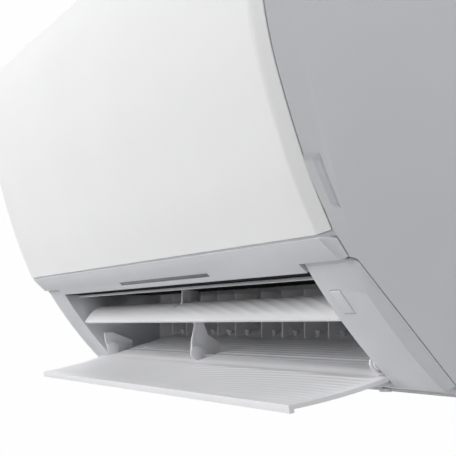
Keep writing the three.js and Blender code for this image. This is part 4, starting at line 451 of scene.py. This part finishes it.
# %% Circuit board
TRACKS, JOINTS = 160.0, 500.0  # to the metre
board = Finish("lacquered_board")
tracks = board.tree.nodes.new("ShaderNodeTexBrick")
tracks.inputs["Scale"].default_value = TRACKS
tracks.inputs["Color1"].default_value = linear((0.08, 0.36, 0.20))
tracks.inputs["Color2"].default_value = linear((0.06, 0.30, 0.17))
tracks.inputs["Mortar"].default_value = linear((0.30, 0.52, 0.32))
tracks.inputs["Mortar Size"].default_value = 0.03
board.link(board.place, tracks.inputs["Vector"])
speckle = board.ramp(board.noise(JOINTS), 0.62, 0.66)
board_colour = board.blend(speckle, tracks.outputs["Color"], linear((0.78, 0.74, 0.60)))
board.link(board_colour, board.shader.inputs["Base Color"])
board.link(board.ramp(board.noise(120.0), 0.3, 0.7, 0.25, 0.4), board.shader.inputs["Roughness"])
finishes["board"] = board.material
print("finishes", len(finishes))

# %% [markdown]
# ## Surfaces from arrays
# Every new piece is put into the scene in one way. After doubles are merged, the normals
# are turned outward, because the drawing's way of counting is a mirror image of the
# frame's. Then the piece gets its rounded edges, its finish and the body it rides on.

# %% Meshes from arrays
SAME_PLACE, SHARP_ANGLE = 1e-6, 32.0  # metres and degrees


def mesh_object(name, points, faces, body, slot, edge_mm=0.0, segments=2):
    """An object of those points and faces that rides on a body, with its edges rounded."""
    mesh = bpy.data.meshes.new(name)
    mesh.from_pydata(np.asarray(points, float).tolist(), [], [list(map(int, face)) for face in faces])
    made = bmesh.new()
    made.from_mesh(mesh)
    bmesh.ops.remove_doubles(made, verts=made.verts, dist=SAME_PLACE)
    bmesh.ops.recalc_face_normals(made, faces=made.faces)
    made.to_mesh(mesh)
    made.free()
    return dressed(bpy.data.objects.new(name, mesh), body, slot, edge_mm, segments)


def dressed(item, body, slot, edge_mm, segments=2):
    """Puts an object in the scene with smooth shading, rounded edges, its finish and its body."""
    bpy.context.scene.collection.objects.link(item)
    item.data.materials.clear()
    item.data.materials.append(finishes[slot])
    item.data.shade_smooth()
    if edge_mm > 0:
        bevel = item.modifiers.new("rounded_edges", "BEVEL")
        bevel.width = edge_mm * MM
        bevel.segments = segments
        bevel.limit_method = "ANGLE"
        bevel.angle_limit = math.radians(SHARP_ANGLE)
        bevel.harden_normals = True
        bevel.use_clamp_overlap = True
    else:
        item.data.set_sharp_from_angle(angle=math.radians(SHARP_ANGLE))
    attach(item, body)
    return item


print("slots", sorted(set(slot_of_node.values())))

# %% [markdown]
# A surface is a grid of points worked out at once. Two such grids, one behind the other,
# close into a skin with thickness. Straight pieces are a profile carried along x, and a
# profile's curve is a smooth line through a few places of the drawing.

# %% Skins, profiles and lines


def skin(front, back):
    """Points and quads of a closed skin: a front grid, a back grid turned round, and a band round them."""
    rows, columns = front.shape[:2]
    count = rows * columns
    index = np.arange(count).reshape(rows, columns)
    quads = np.stack([index[:-1, :-1], index[1:, :-1], index[1:, 1:], index[:-1, 1:]], -1)
    quads = quads.reshape(-1, 4)
    border = np.concatenate([index[0, :-1], index[:-1, -1], index[-1, :0:-1], index[:0:-1, 0]])
    after = np.roll(border, -1)
    band = np.stack([border, after, after + count, border + count], -1)
    points = np.concatenate([front.reshape(-1, 3), back.reshape(-1, 3)])
    return points, np.concatenate([quads, quads[:, ::-1] + count, band])


def skin_between(x, top, low):
    """A closed skin between two grids of (f, h) points, one column to each station x."""
    return skin(place(x[None, :], top[..., 0], top[..., 1]), place(x[None, :], low[..., 0], low[..., 1]))


def carried(profile, x_from, x_to):
    """Points and faces of a closed profile of (f, h) points carried straight along x, with flat ends."""
    outline = np.asarray(profile, float)
    count = len(outline)
    points = np.concatenate([place(x, outline[:, 0], outline[:, 1]) for x in (x_from, x_to)])
    first = np.arange(count)
    after = np.roll(first, -1)
    sides = np.stack([first, after, after + count, first + count], -1).tolist()
    return points, sides + [first[::-1].tolist(), (first + count).tolist()]


def together(*solids):
    """Several solids' points and faces as one list of each, with the faces' numbers moved on."""
    points, faces, start = [], [], 0
    for solid_points, solid_faces in solids:
        points.append(solid_points)
        faces += [[int(i) + start for i in face] for face in solid_faces]
        start += len(solid_points)
    return np.concatenate(points), faces


def disc_profile(f, h, radius, sides=32):
    """A circle of points about (f, h): radius times the cosine and sine of even steps."""
    turn = np.arange(sides) * 2 * math.pi / sides
    return np.stack([f + radius * np.cos(turn), h + radius * np.sin(turn)], -1)


def run_along(line):
    """The distance along a line at each of its points: the sum of the steps before it."""
    return np.concatenate([[0], np.cumsum(np.hypot(*np.diff(line, axis=0).T))])


def smooth_line(controls, count):
    """Evenly spread points on a Catmull-Rom line.

    Between two controls it is a cubic whose slope at each is half the step between its neighbours.
    """
    p = np.array([controls[0], *controls, controls[-1]], float)
    t = np.linspace(0, len(controls) - 1, 40 * len(controls))
    k = np.minimum(t.astype(int), len(controls) - 2)
    w = (t - k)[:, None]
    p0, p1, p2, p3 = p[k], p[k + 1], p[k + 2], p[k + 3]
    a, b = (p2 - p0) / 2, (p3 - p1) / 2
    line = (2 * p1 - 2 * p2 + a + b) * w**3 + (-3 * p1 + 3 * p2 - 2 * a - b) * w**2 + a * w + p1
    run = run_along(line)
    even = np.linspace(0, run[-1], count)
    return np.stack([np.interp(even, run, line[:, 0]), np.interp(even, run, line[:, 1])], -1)


def inward(line):
    """Unit directions to the left of a line's run, which on a rising face is towards the wall."""
    step = np.gradient(line, axis=0)
    step /= np.linalg.norm(step, axis=1, keepdims=True)
    return np.stack([-step[:, 1], step[:, 0]], -1)


def smooth_step(value):
    """3 v^2 - 2 v^3 between 0 and 1."""
    v = np.clip(value, 0, 1)
    return v * v * (3 - 2 * v)


print("panel line is", round(float(run_along(smooth_line(PANEL_LINE, 200))[-1]), 1), "mm long")

# %% [markdown]
# ## Front panel
# The real panel is one glossy moulding. Seen from the side its face is a single sweep that
# leans out and rolls over at the top, and at each end a narrow rim slants back to the seam.
# The CAD panel could be rounded with a bevel, but its face is made of flats, and gloss shows
# them. So the face is a fine smooth line. The depth below it goes over from nothing to the
# rim's straight slope by a hyperbola, and the edge is a small round that catches the light.

# %% Front panel
RIM_DEPTH, RIM_THICKNESS, PANEL_WALL, ROUND = 7.2, 0.8, 3.0, 0.9
FACE_POINTS = 150
face = smooth_line(PANEL_LINE, FACE_POINTS)
face_in = inward(face)
near_rim = [0, 0.4, 1, 2, 3.4, 4.8, 5.6, 6.2, 6.7, 7.1, 7.6, 8.2, 9, 10.5, 13]
from_end = np.array([*near_rim, 20, 40, 90, 160, 240, 330, HALF_WIDTH])
stations = np.concatenate([from_end - HALF_WIDTH, (HALF_WIDTH - from_end[:-1])[::-1]])
end_distance = HALF_WIDTH - np.abs(stations)
rim_fall = RIM_DEPTH - RIM_THICKNESS
drop = (EDGE_INSET - end_distance) * rim_fall / EDGE_INSET
outer_depth = np.minimum((drop + np.sqrt(drop**2 + ROUND**2)) / 2, rim_fall)
inner_slope = (RIM_DEPTH - PANEL_WALL) / EDGE_INSET
inner_depth = np.maximum(PANEL_WALL, RIM_DEPTH - inner_slope * end_distance)


def along_face(depth):
    """The face moved inward by a depth that changes with x, as a grid of face point by station."""
    f = face[:, None, 0] + face_in[:, None, 0] * depth[None, :]
    h = face[:, None, 1] + face_in[:, None, 1] * depth[None, :]
    return place(stations[None, :], f, h)


panel_skin = mesh_object(
    "panel_skin", *skin(along_face(outer_depth), along_face(inner_depth)), "panel", "panel", 0.45, 3
)
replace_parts(panel_skin, "front_panel")
print("panel_skin", len(panel_skin.data.polygons), "faces")

# %% [markdown]
# The panel swings on an arm and a pin at each end, behind the face. A skin has no room for
# them, so they are a piece of their own on the same body: one profile and one circle,
# carried along x.

# %% Panel arms
HINGE_F, HINGE_H, PIN_RADIUS = 205.0, 283.0, 3.0
ARM_X, ARM_WIDTH, ARM_DROP, PIN_LENGTH = 421.0, 5.0, 18.0, 5.0
sunk = face + face_in * (PANEL_WALL / 2)
sunk = sunk[(sunk[:, 1] > HINGE_H - ARM_DROP) & (sunk[:, 1] < HINGE_H + PIN_RADIUS)]
eye = 2 * PIN_RADIUS
arm_outline = [
    (HINGE_F, HINGE_H + eye), (HINGE_F - eye, HINGE_H), (HINGE_F, HINGE_H - eye), *map(tuple, sunk[::3])
]
pin_outline = disc_profile(HINGE_F, HINGE_H, PIN_RADIUS)
arm_end = ARM_X + ARM_WIDTH
arms = []
for side in (-1, 1):
    arms.append(carried(arm_outline, side * ARM_X, side * arm_end))
    arms.append(carried(pin_outline, side * (ARM_X + ARM_WIDTH / 2), side * (arm_end + PIN_LENGTH)))
panel_arms = mesh_object("panel_arms", *together(*arms), "panel", "panel")
print("panel_arms", len(panel_arms.data.polygons), "faces")

# %% [markdown]
# ## CAD pieces with rounded edges
# Most pieces already have the right shape, but a CAD solid is loose triangles with knife
# edges. A copy is merged, its flat neighbours are joined into whole faces, and a small
# bevel rounds what is sharp, so that edges catch the light as moulded ones do.

# %% Rounded copies
MERGE_WITHIN, FLAT_ANGLE, UPRIGHT_ROUND = 2e-6, 0.6, 0.3  # metres, degrees and millimetres
EDGE_ROUND = {
    "body_shell": 0.7, "display_strip": 0.35, "outlet_frame": 0.6, "lower_vane": 0.5, "upper_vane": 0.45,
    "vane_stay_left": 0.4, "vane_stay_middle": 0.4, "vane_stay_right": 0.4, "rear_chassis": 0.5,
    "wall_plate": 0.25, "ceiling_rail": 0.3, "duct_ceiling": 0.3, "drain_pan": 0.6, "control_box": 0.5,
    "control_box_cover": 0.3, "emergency_button": 1.3, "motor_bracket": 0.5, "main_board": 0.1,
    "terminal_block": 0.3, "display_board": 0.1, "indicator_lens": 0.15, "filter_left": 0.25,
    "filter_right": 0.25, "link_rod_left": 0.25, "link_rod_right": 0.25,
}
ROUND_PIECES = [
    "gas_pipe", "liquid_pipe", "gas_flare_nut", "liquid_flare_nut", "fan_motor", "motor_shaft",
    "fan_bearing", "vane_motor_upper", "vane_motor_lower", "swing_motor_left", "swing_motor_right",
    "casing_screw_left", "casing_screw_right", "evaporator_lower", "evaporator_upper", "evaporator_rear",
]


def rounded_copy(node, edge_mm):
    """A node's triangles merged into whole faces, in a new object that stands for the node."""
    mesh = nodes[node].data.copy()
    made = bmesh.new()
    made.from_mesh(mesh)
    bmesh.ops.remove_doubles(made, verts=made.verts, dist=MERGE_WITHIN)
    bmesh.ops.dissolve_limit(
        made, angle_limit=math.radians(FLAT_ANGLE), verts=made.verts, edges=made.edges
    )
    made.to_mesh(mesh)
    made.free()
    item = bpy.data.objects.new(node + "_moulded", mesh)
    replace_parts(dressed(item, body_of_node[node], slot_of_node[node], edge_mm), node)


uprights = sorted(node for node in nodes if node.startswith("upright_vane_"))
edges = {**EDGE_ROUND, **dict.fromkeys(ROUND_PIECES, 0.0), **dict.fromkeys(uprights, UPRIGHT_ROUND)}
for node, edge_mm in edges.items():
    rounded_copy(node, edge_mm)
print("rounded copies", len(edges))

# %% [markdown]
# ## Ridges on the vanes
# The vanes' upper faces carry fine ridges that steady the air. A bump in the material would
# be quicker, but the ridges show along the vane's edge, so they are real: a thin skin laid
# on the vane, whose height is a squared cosine of the distance across the ridges. At the
# skin's border the height falls below the vane's own face, so no step shows. On the lower
# vane they are long arcs: near the right end they run along the vane, and to the left they
# bend forward and fade.

# %% Lower vane's ridges
CHEEK_TOP, CHEEK_TOE, BULGE = np.array([198.6, 74.0]), np.array([144.6, 5.0]), 2.6
LOWER_PIVOT, LOWER_OPEN = np.array([151.0, 18.5]), math.radians(67.5)


def cheek_points(share):
    """Points on the cheek's arc by their share s of the way down: the chord plus a bulge of 4 s (1 - s)."""
    chord = CHEEK_TOE - CHEEK_TOP
    unit = chord / np.linalg.norm(chord)
    outward = np.array([-unit[1], unit[0]])
    bulge = 4 * BULGE * share * (1 - share)
    return CHEEK_TOP + chord * share[:, None] + outward * bulge[:, None], outward


def swing_open(points, angle, pivot):
    """Points turned about the pivot so that the outlet opens."""
    a, b = (points - pivot)[..., 0], (points - pivot)[..., 1]
    cosine, sine = math.cos(angle), math.sin(angle)
    return pivot + np.stack([a * cosine + b * sine, b * cosine - a * sine], -1)


SINK = 0.12


def ridge_lift(phase, height, rise, across_share, along_share, across_band, along_band):
    """How far a ridged skin stands over its face.

    A ridge is the square of a half-raised cosine of the phase, so that it is narrow with a flat
    valley beside it. In a band along the border, where a share is near 0 or 1, a smooth step
    takes ridges and rise down to a sunk edge.
    """
    u, v = across_share[:, None], along_share[None, :]
    fade = smooth_step(np.minimum(np.minimum(u, 1 - u) / across_band, np.minimum(v, 1 - v) / along_band))
    ridge = (0.5 + 0.5 * np.cos(2 * math.pi * phase)) ** 2
    return (height * ridge + rise) * fade - SINK * (1 - fade)


PROUD, LOWER_SKIN, LOWER_RIDGE, LOWER_RISE, LOWER_PITCH = 0.6, 0.9, 0.32, 0.03, 4.4
LOWER_HALF, LOWER_FROM, LOWER_TO, LOWER_BANDS = 373.0, 0.135, 0.755, (0.06, 0.012)
LOWER_COLUMNS, LOWER_ROWS = 360, 130
ARC_MIDDLE_X, ARC_STRETCH = 330.0, 7.0
CALM_LEAST, CALM_FROM_X, CALM_OVER = 0.08, -170.0, 250.0
lower_x = np.linspace(-LOWER_HALF, LOWER_HALF, LOWER_COLUMNS)
lower_share = np.linspace(LOWER_FROM, LOWER_TO, LOWER_ROWS)
arc, arc_out = cheek_points(lower_share)
across = lower_share * float(np.linalg.norm(CHEEK_TOE - CHEEK_TOP))
from_right = np.clip(ARC_MIDDLE_X - lower_x, 0, None) / ARC_STRETCH
lower_phase = np.hypot(across[:, None], from_right[None, :]) / LOWER_PITCH
lower_calm = CALM_LEAST + (1 - CALM_LEAST) * np.clip((lower_x - CALM_FROM_X) / CALM_OVER, 0, 1)
lift = ridge_lift(
    lower_phase, LOWER_RIDGE * lower_calm, LOWER_RISE,
    np.linspace(0, 1, LOWER_ROWS), np.linspace(0, 1, LOWER_COLUMNS), *LOWER_BANDS,
)
top_points = arc[:, None, :] + arc_out * (PROUD - lift)[..., None]
low_points = np.broadcast_to((arc + arc_out * (PROUD + LOWER_SKIN))[:, None, :], top_points.shape)
top_open, low_open = (swing_open(p, LOWER_OPEN, LOWER_PIVOT) for p in (top_points, low_points))
lower_ridges = mesh_object(
    "lower_vane_ridges", *skin_between(lower_x, top_open, low_open), "lower_louvre", "vane"
)
print("lower_vane_ridges", len(lower_ridges.data.polygons), "faces")

# %% [markdown]
# The upper vane's face is bowed and its ridges fan out aslant. The skin follows the bow by
# its middle line and the directions square to it, and it stops short of the stay in the
# middle, so there are two.

# %% Upper vane's ridges
UPPER_PIVOT, UPPER_HALF_THICK = np.array([158.0, 53.0]), 1.0
UPPER_REAR, UPPER_FRONT, UPPER_SEAT = -19.0, 18.0, 3.5
UPPER_BEND, UPPER_DROP, UPPER_CURL = -2.3, 14.2, 2.6
UPPER_HALF, MIDDLE_STAY, STAY_ROOM = 348.0, -48.0, 4.5
UPPER_SKIN, UPPER_RIDGE, UPPER_RISE, UPPER_PITCH = 0.6, 0.22, 0.05, 5.2
ASLANT, MORE_ASLANT = 0.10, 1 / 900.0
UPPER_CALM_LEAST, UPPER_CALM_FROM_X, UPPER_CALM_OVER = 0.15, -250.0, 350.0
REAR_ROOM, FRONT_ROOM, UPPER_BANDS = 1.0, 0.8, (0.07, 0.012)
UPPER_COLUMNS, UPPER_ROWS = 300, 70


def upper_bow(f):
    """The upper vane's middle line and the directions square to it.

    The line is level, and past the bend it falls by a power of the way to the front.
    """
    past = np.clip(f - UPPER_BEND, 0, None) / (UPPER_FRONT - UPPER_BEND)
    line = np.stack([f, UPPER_SEAT - UPPER_DROP * past**UPPER_CURL], -1)
    fall = -UPPER_DROP * UPPER_CURL * past ** (UPPER_CURL - 1) / (UPPER_FRONT - UPPER_BEND)
    square = np.stack([-fall, np.ones_like(fall)], -1)
    return line, square / np.linalg.norm(square, axis=-1, keepdims=True)


upper_f = np.linspace(UPPER_REAR + REAR_ROOM, UPPER_FRONT - FRONT_ROOM, UPPER_ROWS)
upper_line, upper_square = upper_bow(upper_f)
upper_place = (upper_line + UPPER_PIVOT)[:, None]
skins = []
for x_from, x_to in ((-UPPER_HALF, MIDDLE_STAY - STAY_ROOM), (MIDDLE_STAY + STAY_ROOM, UPPER_HALF)):
    upper_x = np.linspace(x_from, x_to, UPPER_COLUMNS)
    fan_out = ASLANT * upper_x * (1 + upper_x * MORE_ASLANT)
    phase = (run_along(upper_line)[:, None] - fan_out[None, :]) / UPPER_PITCH
    calm = np.clip((upper_x - UPPER_CALM_FROM_X) / UPPER_CALM_OVER, UPPER_CALM_LEAST, 1.0)
    lift = ridge_lift(
        phase, UPPER_RIDGE * calm, UPPER_RISE,
        np.linspace(0, 1, UPPER_ROWS), np.linspace(0, 1, UPPER_COLUMNS), *UPPER_BANDS,
    )
    top = upper_place + upper_square[:, None] * (UPPER_HALF_THICK + lift)[..., None]
    low = upper_place + upper_square[:, None] * np.full_like(top, UPPER_HALF_THICK - UPPER_SKIN)
    skins.append(skin_between(upper_x, top, low))
upper_ridges = mesh_object("upper_vane_ridges", *together(*skins), "upper_louvre", "vane")
print("upper_vane_ridges", len(upper_ridges.data.polygons), "faces")

# %% [markdown]
# The duct's floor carries the same fine ridges behind the lower vane. They run along the
# unit on the floor's slope, so the grid needs many points across them and few along.

# %% Floor ridges
FLOOR_LIP, FLOOR_SLOPE, FLOOR_HALF = (137.4, 17.6), 0.289, 357.0
FLOOR_SKIN, FLOOR_RIDGE, FLOOR_RISE, FLOOR_PITCH = 0.6, 0.34, 0.05, 4.6
FLOOR_REAR, FLOOR_FRONT, FLOOR_BANDS, FLOOR_ROWS = 96.5, 135.5, (0.05, 0.003), 110
floor_f = np.linspace(FLOOR_REAR, FLOOR_FRONT, FLOOR_ROWS)
floor_end = np.array([0.0, 1.0, 3.0]) - FLOOR_HALF
floor_x = np.concatenate([floor_end, np.linspace(-340, 340, 9), -floor_end[::-1]])
floor_h = FLOOR_LIP[1] + (FLOOR_LIP[0] - floor_f) * FLOOR_SLOPE
floor_lift = ridge_lift(
    floor_f[:, None] / FLOOR_PITCH, FLOOR_RIDGE, FLOOR_RISE,
    np.linspace(0, 1, FLOOR_ROWS), (floor_x + FLOOR_HALF) / (2 * FLOOR_HALF), *FLOOR_BANDS,
)
floor_grid = np.broadcast_to(np.stack([floor_f, floor_h], -1)[:, None], (*floor_lift.shape, 2))
floor_ridges = mesh_object(
    "duct_floor_ridges",
    *skin_between(
        floor_x,
        floor_grid + np.stack([0 * floor_lift, floor_lift], -1),
        floor_grid - [0.0, FLOOR_SKIN],
    ),
    "casing", "vane",
)
print("duct_floor_ridges", len(floor_ridges.data.polygons), "faces")

# %% [markdown]
# The front part of the duct's ceiling is dark, and comes down a little towards the rear. It
# is a low wedge in front of the upright vanes, deeper towards the right end. A skin of two
# by two points is enough for it: its front and rear edge, each with a left and a right end.

# %% Ceiling wedge
WEDGE_TOP, WEDGE_HALF = 67.9, 359.4
wedge_x = np.array([-WEDGE_HALF, WEDGE_HALF])
wedge_f = np.array([[177.0, 177.0], [160.0, 138.0]])
wedge_low = np.array([[67.5, 67.5], [66.6, 65.6]])
ceiling_wedge = mesh_object(
    "ceiling_wedge",
    *skin(place(wedge_x, wedge_f, wedge_low), place(wedge_x, wedge_f, WEDGE_TOP)),
    "casing", "dark",
)
print("ceiling_wedge", len(ceiling_wedge.data.polygons), "faces")

# %% [markdown]
# ## Finger notches
# Beside the panel each side has a notch for a finger. The CAD notch is a plain pocket, and
# this floor lies in it. It starts flush at the seam's lower end and deeper at its upper one,
# slopes inward towards the rear, and comes back out over a short wall and under a roof by
# smooth steps. One depth worked out for a grid of places gives all of that at once.

# %% Finger notches
NOTCH_LOW, NOTCH_HIGH, SEAM_DEPTH, NOTCH_REACH, NOTCH_DEEP = 98.6, 127.6, 7.5, 17.2, 4.3
NOTCH_SILL, NOTCH_ROOF, NOTCH_SKIN, NOTCH_SET_BACK = 2.6, 5.5, 0.68, 0.02
SLOPE_FROM, SLOPE_TO, SEAM_LEAST, SEAM_MORE, FACE_ROOM = 0.45, 0.94, 0.03, 0.45, 12
beside = face[face[:, 1] < NOTCH_HIGH + FACE_ROOM]
notch_h = np.linspace(NOTCH_LOW, NOTCH_HIGH, 60)
go_back = np.linspace(0, 1, 40)
behind = SEAM_DEPTH + (NOTCH_REACH - SEAM_DEPTH) * go_back
set_in = beside[None] + inward(beside)[None] * behind[:, None, None]
notch_f = np.stack([np.interp(notch_h, line[:, 1], line[:, 0]) for line in set_in], -1)
notch_up = notch_h[:, None]
at_seam = SEAM_LEAST + SEAM_MORE * (notch_up - NOTCH_LOW) / (NOTCH_HIGH - NOTCH_LOW)
sloped = at_seam + (1 - at_seam) * np.clip((go_back - SLOPE_FROM) / (SLOPE_TO - SLOPE_FROM), 0, 1)
sink = sloped * smooth_step((1 - go_back) / (1 - SLOPE_TO))
at_sill = smooth_step((notch_up - NOTCH_LOW) / NOTCH_SILL)
at_roof = smooth_step((NOTCH_HIGH - notch_up) / NOTCH_ROOF)
notch_x = HALF_WIDTH - NOTCH_SET_BACK - NOTCH_DEEP * sink * (at_sill * at_roof)
scoops = []
for side in (-1, 1):
    outside, inside = (place(side * x, notch_f, notch_up) for x in (notch_x, notch_x - NOTCH_SKIN))
    scoops.append(skin(outside, inside))
notch_scoops = mesh_object("notch_scoops", *together(*scoops), "casing", "body")
print("notch_scoops", len(notch_scoops.data.polygons), "faces")

# %% [markdown]
# Under the panel's lower edge the strip is carried on behind the panel, so that the seam is
# a shaded line and not a hole. It is a ruled band from the strip's upper edge to the panel's
# lower one, set back a little, and it follows both where they slant in at the ends.

# %% Seam under the panel
STRIP_TOP, STRIP_TOP_END = np.array([213.2, 83.9]), np.array([204.8, 84.3])
SET_BACK, BELOW_PANEL, SEAM_END_ROOM = 0.9, 0.3, 0.4
slant = np.clip((EDGE_INSET - end_distance) / EDGE_INSET, 0, 1)[:, None]
strip_edge = STRIP_TOP * (1 - slant) + STRIP_TOP_END * slant
panel_edge = face[0] + face_in[0] * outer_depth[:, None] - [0.0, BELOW_PANEL]
rows = np.linspace(0, 1, 4)[:, None, None]
band = strip_edge[None] * (1 - rows) + panel_edge[None] * rows + face_in[0] * SET_BACK
seam_x = stations * (1 - SEAM_END_ROOM / HALF_WIDTH)
seam_band = mesh_object("seam_band", *skin_between(seam_x, band, band + face_in[0]), "casing", "trim")
print("seam_band", len(seam_band.data.polygons), "faces")

# %% [markdown]
# ## Intake louvres
# The top of a real unit is closed by fine bars, close enough to keep fingers out. An Array
# modifier could repeat one bar, but the bars skip the grille's own ribs, so their places are
# worked out first. Each is a box across one row of the CAD grille, and all are one piece.

# %% Intake louvres
ROWS, ROW_PITCH, ROW_REAR, ROW_LENGTH = 3, 51.6667, 42.0, 44.6667
GRILLE_HALF, GRILLE_BAR, GRILLE_CELLS, SLOT_ROOM, TUCKED = 360.0, 7.0, 10, 1.5, 1.0
LOUVRE_PITCH, LOUVRE_HALF, LOUVRE_TOP, LOUVRE_DEPTH, FIRST_LOUVRE = 9.0, 0.8, 294.4, 5.0, -355.5
louvre_x = np.arange(FIRST_LOUVRE, 0.5 - FIRST_LOUVRE, LOUVRE_PITCH)
cell = (2 * GRILLE_HALF + GRILLE_BAR) / GRILLE_CELLS
in_slot = (louvre_x + GRILLE_HALF) % cell
louvre_x = louvre_x[(in_slot > SLOT_ROOM) & (in_slot < cell - GRILLE_BAR - SLOT_ROOM)]
corner = np.array([(x, f, h) for x in (-1, 1) for f in (0, 1) for h in (0, 1)], float)
BOX_FACES = np.array(
    [(0, 1, 3, 2), (4, 6, 7, 5), (0, 4, 5, 1), (2, 3, 7, 6), (0, 2, 6, 4), (1, 5, 7, 3)]
)
grid_x, grid_row = (a.ravel() for a in np.meshgrid(louvre_x, np.arange(ROWS)))
bar_x = grid_x[:, None] + corner[None, :, 0] * LOUVRE_HALF
bar_start = ROW_REAR - TUCKED + grid_row[:, None] * ROW_PITCH
bar_f = bar_start + corner[None, :, 1] * (ROW_LENGTH + 2 * TUCKED)
bar_h = LOUVRE_TOP - LOUVRE_DEPTH * (1 - corner[None, :, 2]) + 0 * bar_x
bar_points = place(bar_x, bar_f, bar_h).reshape(-1, 3)
bar_faces = (BOX_FACES[None] + 8 * np.arange(len(grid_x))[:, None, None]).reshape(-1, 4)
louvres = mesh_object("intake_louvres", bar_points, bar_faces, "casing", "body")
print("intake_louvres", len(louvres.data.polygons), "faces")

# %% [markdown]
# ## Cross-flow fan
# The fan is a long drum of thin curved blades between rings, which the CAD model shows as a
# plain drum. One blade's section is a line that leans forward as it goes out, with a wall to
# each side that thins to the tip. It is turned by even steps before it is carried along x,
# because a mesh that is copied and turned later would lose its place in the frame.

# %% Cross-flow fan
FAN_F, FAN_H, FAN_IN, FAN_OUT, FAN_HALF, BLADES = 100.0, 122.0, 36.0, 46.0, 350.0, 35
BLADE_LEAN, BLADE_HALF_THICK, TIP_THINNER, BLADE_INSET = 15.0, 0.55, 0.45, 1.0
reach = np.linspace(0, 1, 7)
blade_radius = FAN_IN + (FAN_OUT - FAN_IN) * reach
blade_angle = math.radians(BLADE_LEAN) * reach**2
wall = BLADE_HALF_THICK * (1 - TIP_THINNER * reach) / blade_radius
section_radius = np.concatenate([blade_radius, blade_radius[::-1]])
section_angle = np.concatenate([blade_angle - wall, (blade_angle + wall)[::-1]])
drum = []
for turn in np.arange(BLADES) * 2 * math.pi / BLADES:
    angle = section_angle + turn
    outline = [FAN_F + section_radius * np.cos(angle), FAN_H + section_radius * np.sin(angle)]
    drum.append(carried(np.stack(outline, -1), BLADE_INSET - FAN_HALF, FAN_HALF - BLADE_INSET))


def ring(x_from, x_to, inner, outer, sides=64):
    """A flat ring: a rectangle of x and radius turned round the fan's axis and closed on itself."""
    corners = [(x_from, inner), (x_to, inner), (x_to, outer), (x_from, outer)]
    circles = [disc_profile(FAN_F, FAN_H, r, sides) for _, r in corners]
    points = np.concatenate(
        [place(x, circle[:, 0], circle[:, 1]) for (x, _), circle in zip(corners, circles)]
    )
    step = np.arange(sides)
    after = np.roll(step, -1)
    faces = [
        np.stack([a * sides + step, a * sides + after, b * sides + after, b * sides + step], -1)
        for a, b in ((0, 1), (1, 2), (2, 3), (3, 0))
    ]
    return points, np.concatenate(faces)


RING_WIDTH, RING_IN, RING_OUT, OUTER_RINGS_X, RINGS = 2.6, FAN_IN - 1.5, FAN_OUT - 0.35, 262.5, 7
DISC_WIDTH, DISC_RADIUS, JOURNAL_RADIUS, JOURNAL_END, JOURNAL_ROOT = 3.0, FAN_OUT - 0.3, 4.0, -367.5, 2.5
HUB_FROM, HUB_TO, HUB_IN, HUB_OUT = FAN_HALF - 20.0, FAN_HALF - 2.0, 4.4, 12.0
rings_x = np.linspace(-OUTER_RINGS_X, OUTER_RINGS_X, RINGS)
rings = [ring(x, x + RING_WIDTH, RING_IN, RING_OUT) for x in rings_x]
end_disc = disc_profile(FAN_F, FAN_H, DISC_RADIUS, 64)
discs = [
    carried(end_disc, -FAN_HALF, DISC_WIDTH - FAN_HALF),
    carried(end_disc, FAN_HALF - DISC_WIDTH, FAN_HALF),
    carried(disc_profile(FAN_F, FAN_H, JOURNAL_RADIUS), JOURNAL_END, JOURNAL_ROOT - FAN_HALF),
    ring(HUB_FROM, HUB_TO, HUB_IN, HUB_OUT),
]
fan_drum = mesh_object("fan_drum", *together(*drum, *rings, *discs), "fan", "dark")
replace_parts(fan_drum, "cross_flow_fan")
print("fan_drum", len(fan_drum.data.polygons), "faces")

# %% [markdown]
# ## Finish on what is left
# Every CAD node that still shows gets the finish of its slot, so that nothing is left in the
# grey of the CAD model.

# %% Carried-over nodes
left_over = [name for name, node in nodes.items() if not node.hide_render]
for name in left_over:
    nodes[name].data.materials.clear()
    nodes[name].data.materials.append(finishes[slot_of_node[name]])
print("carried over", left_over)
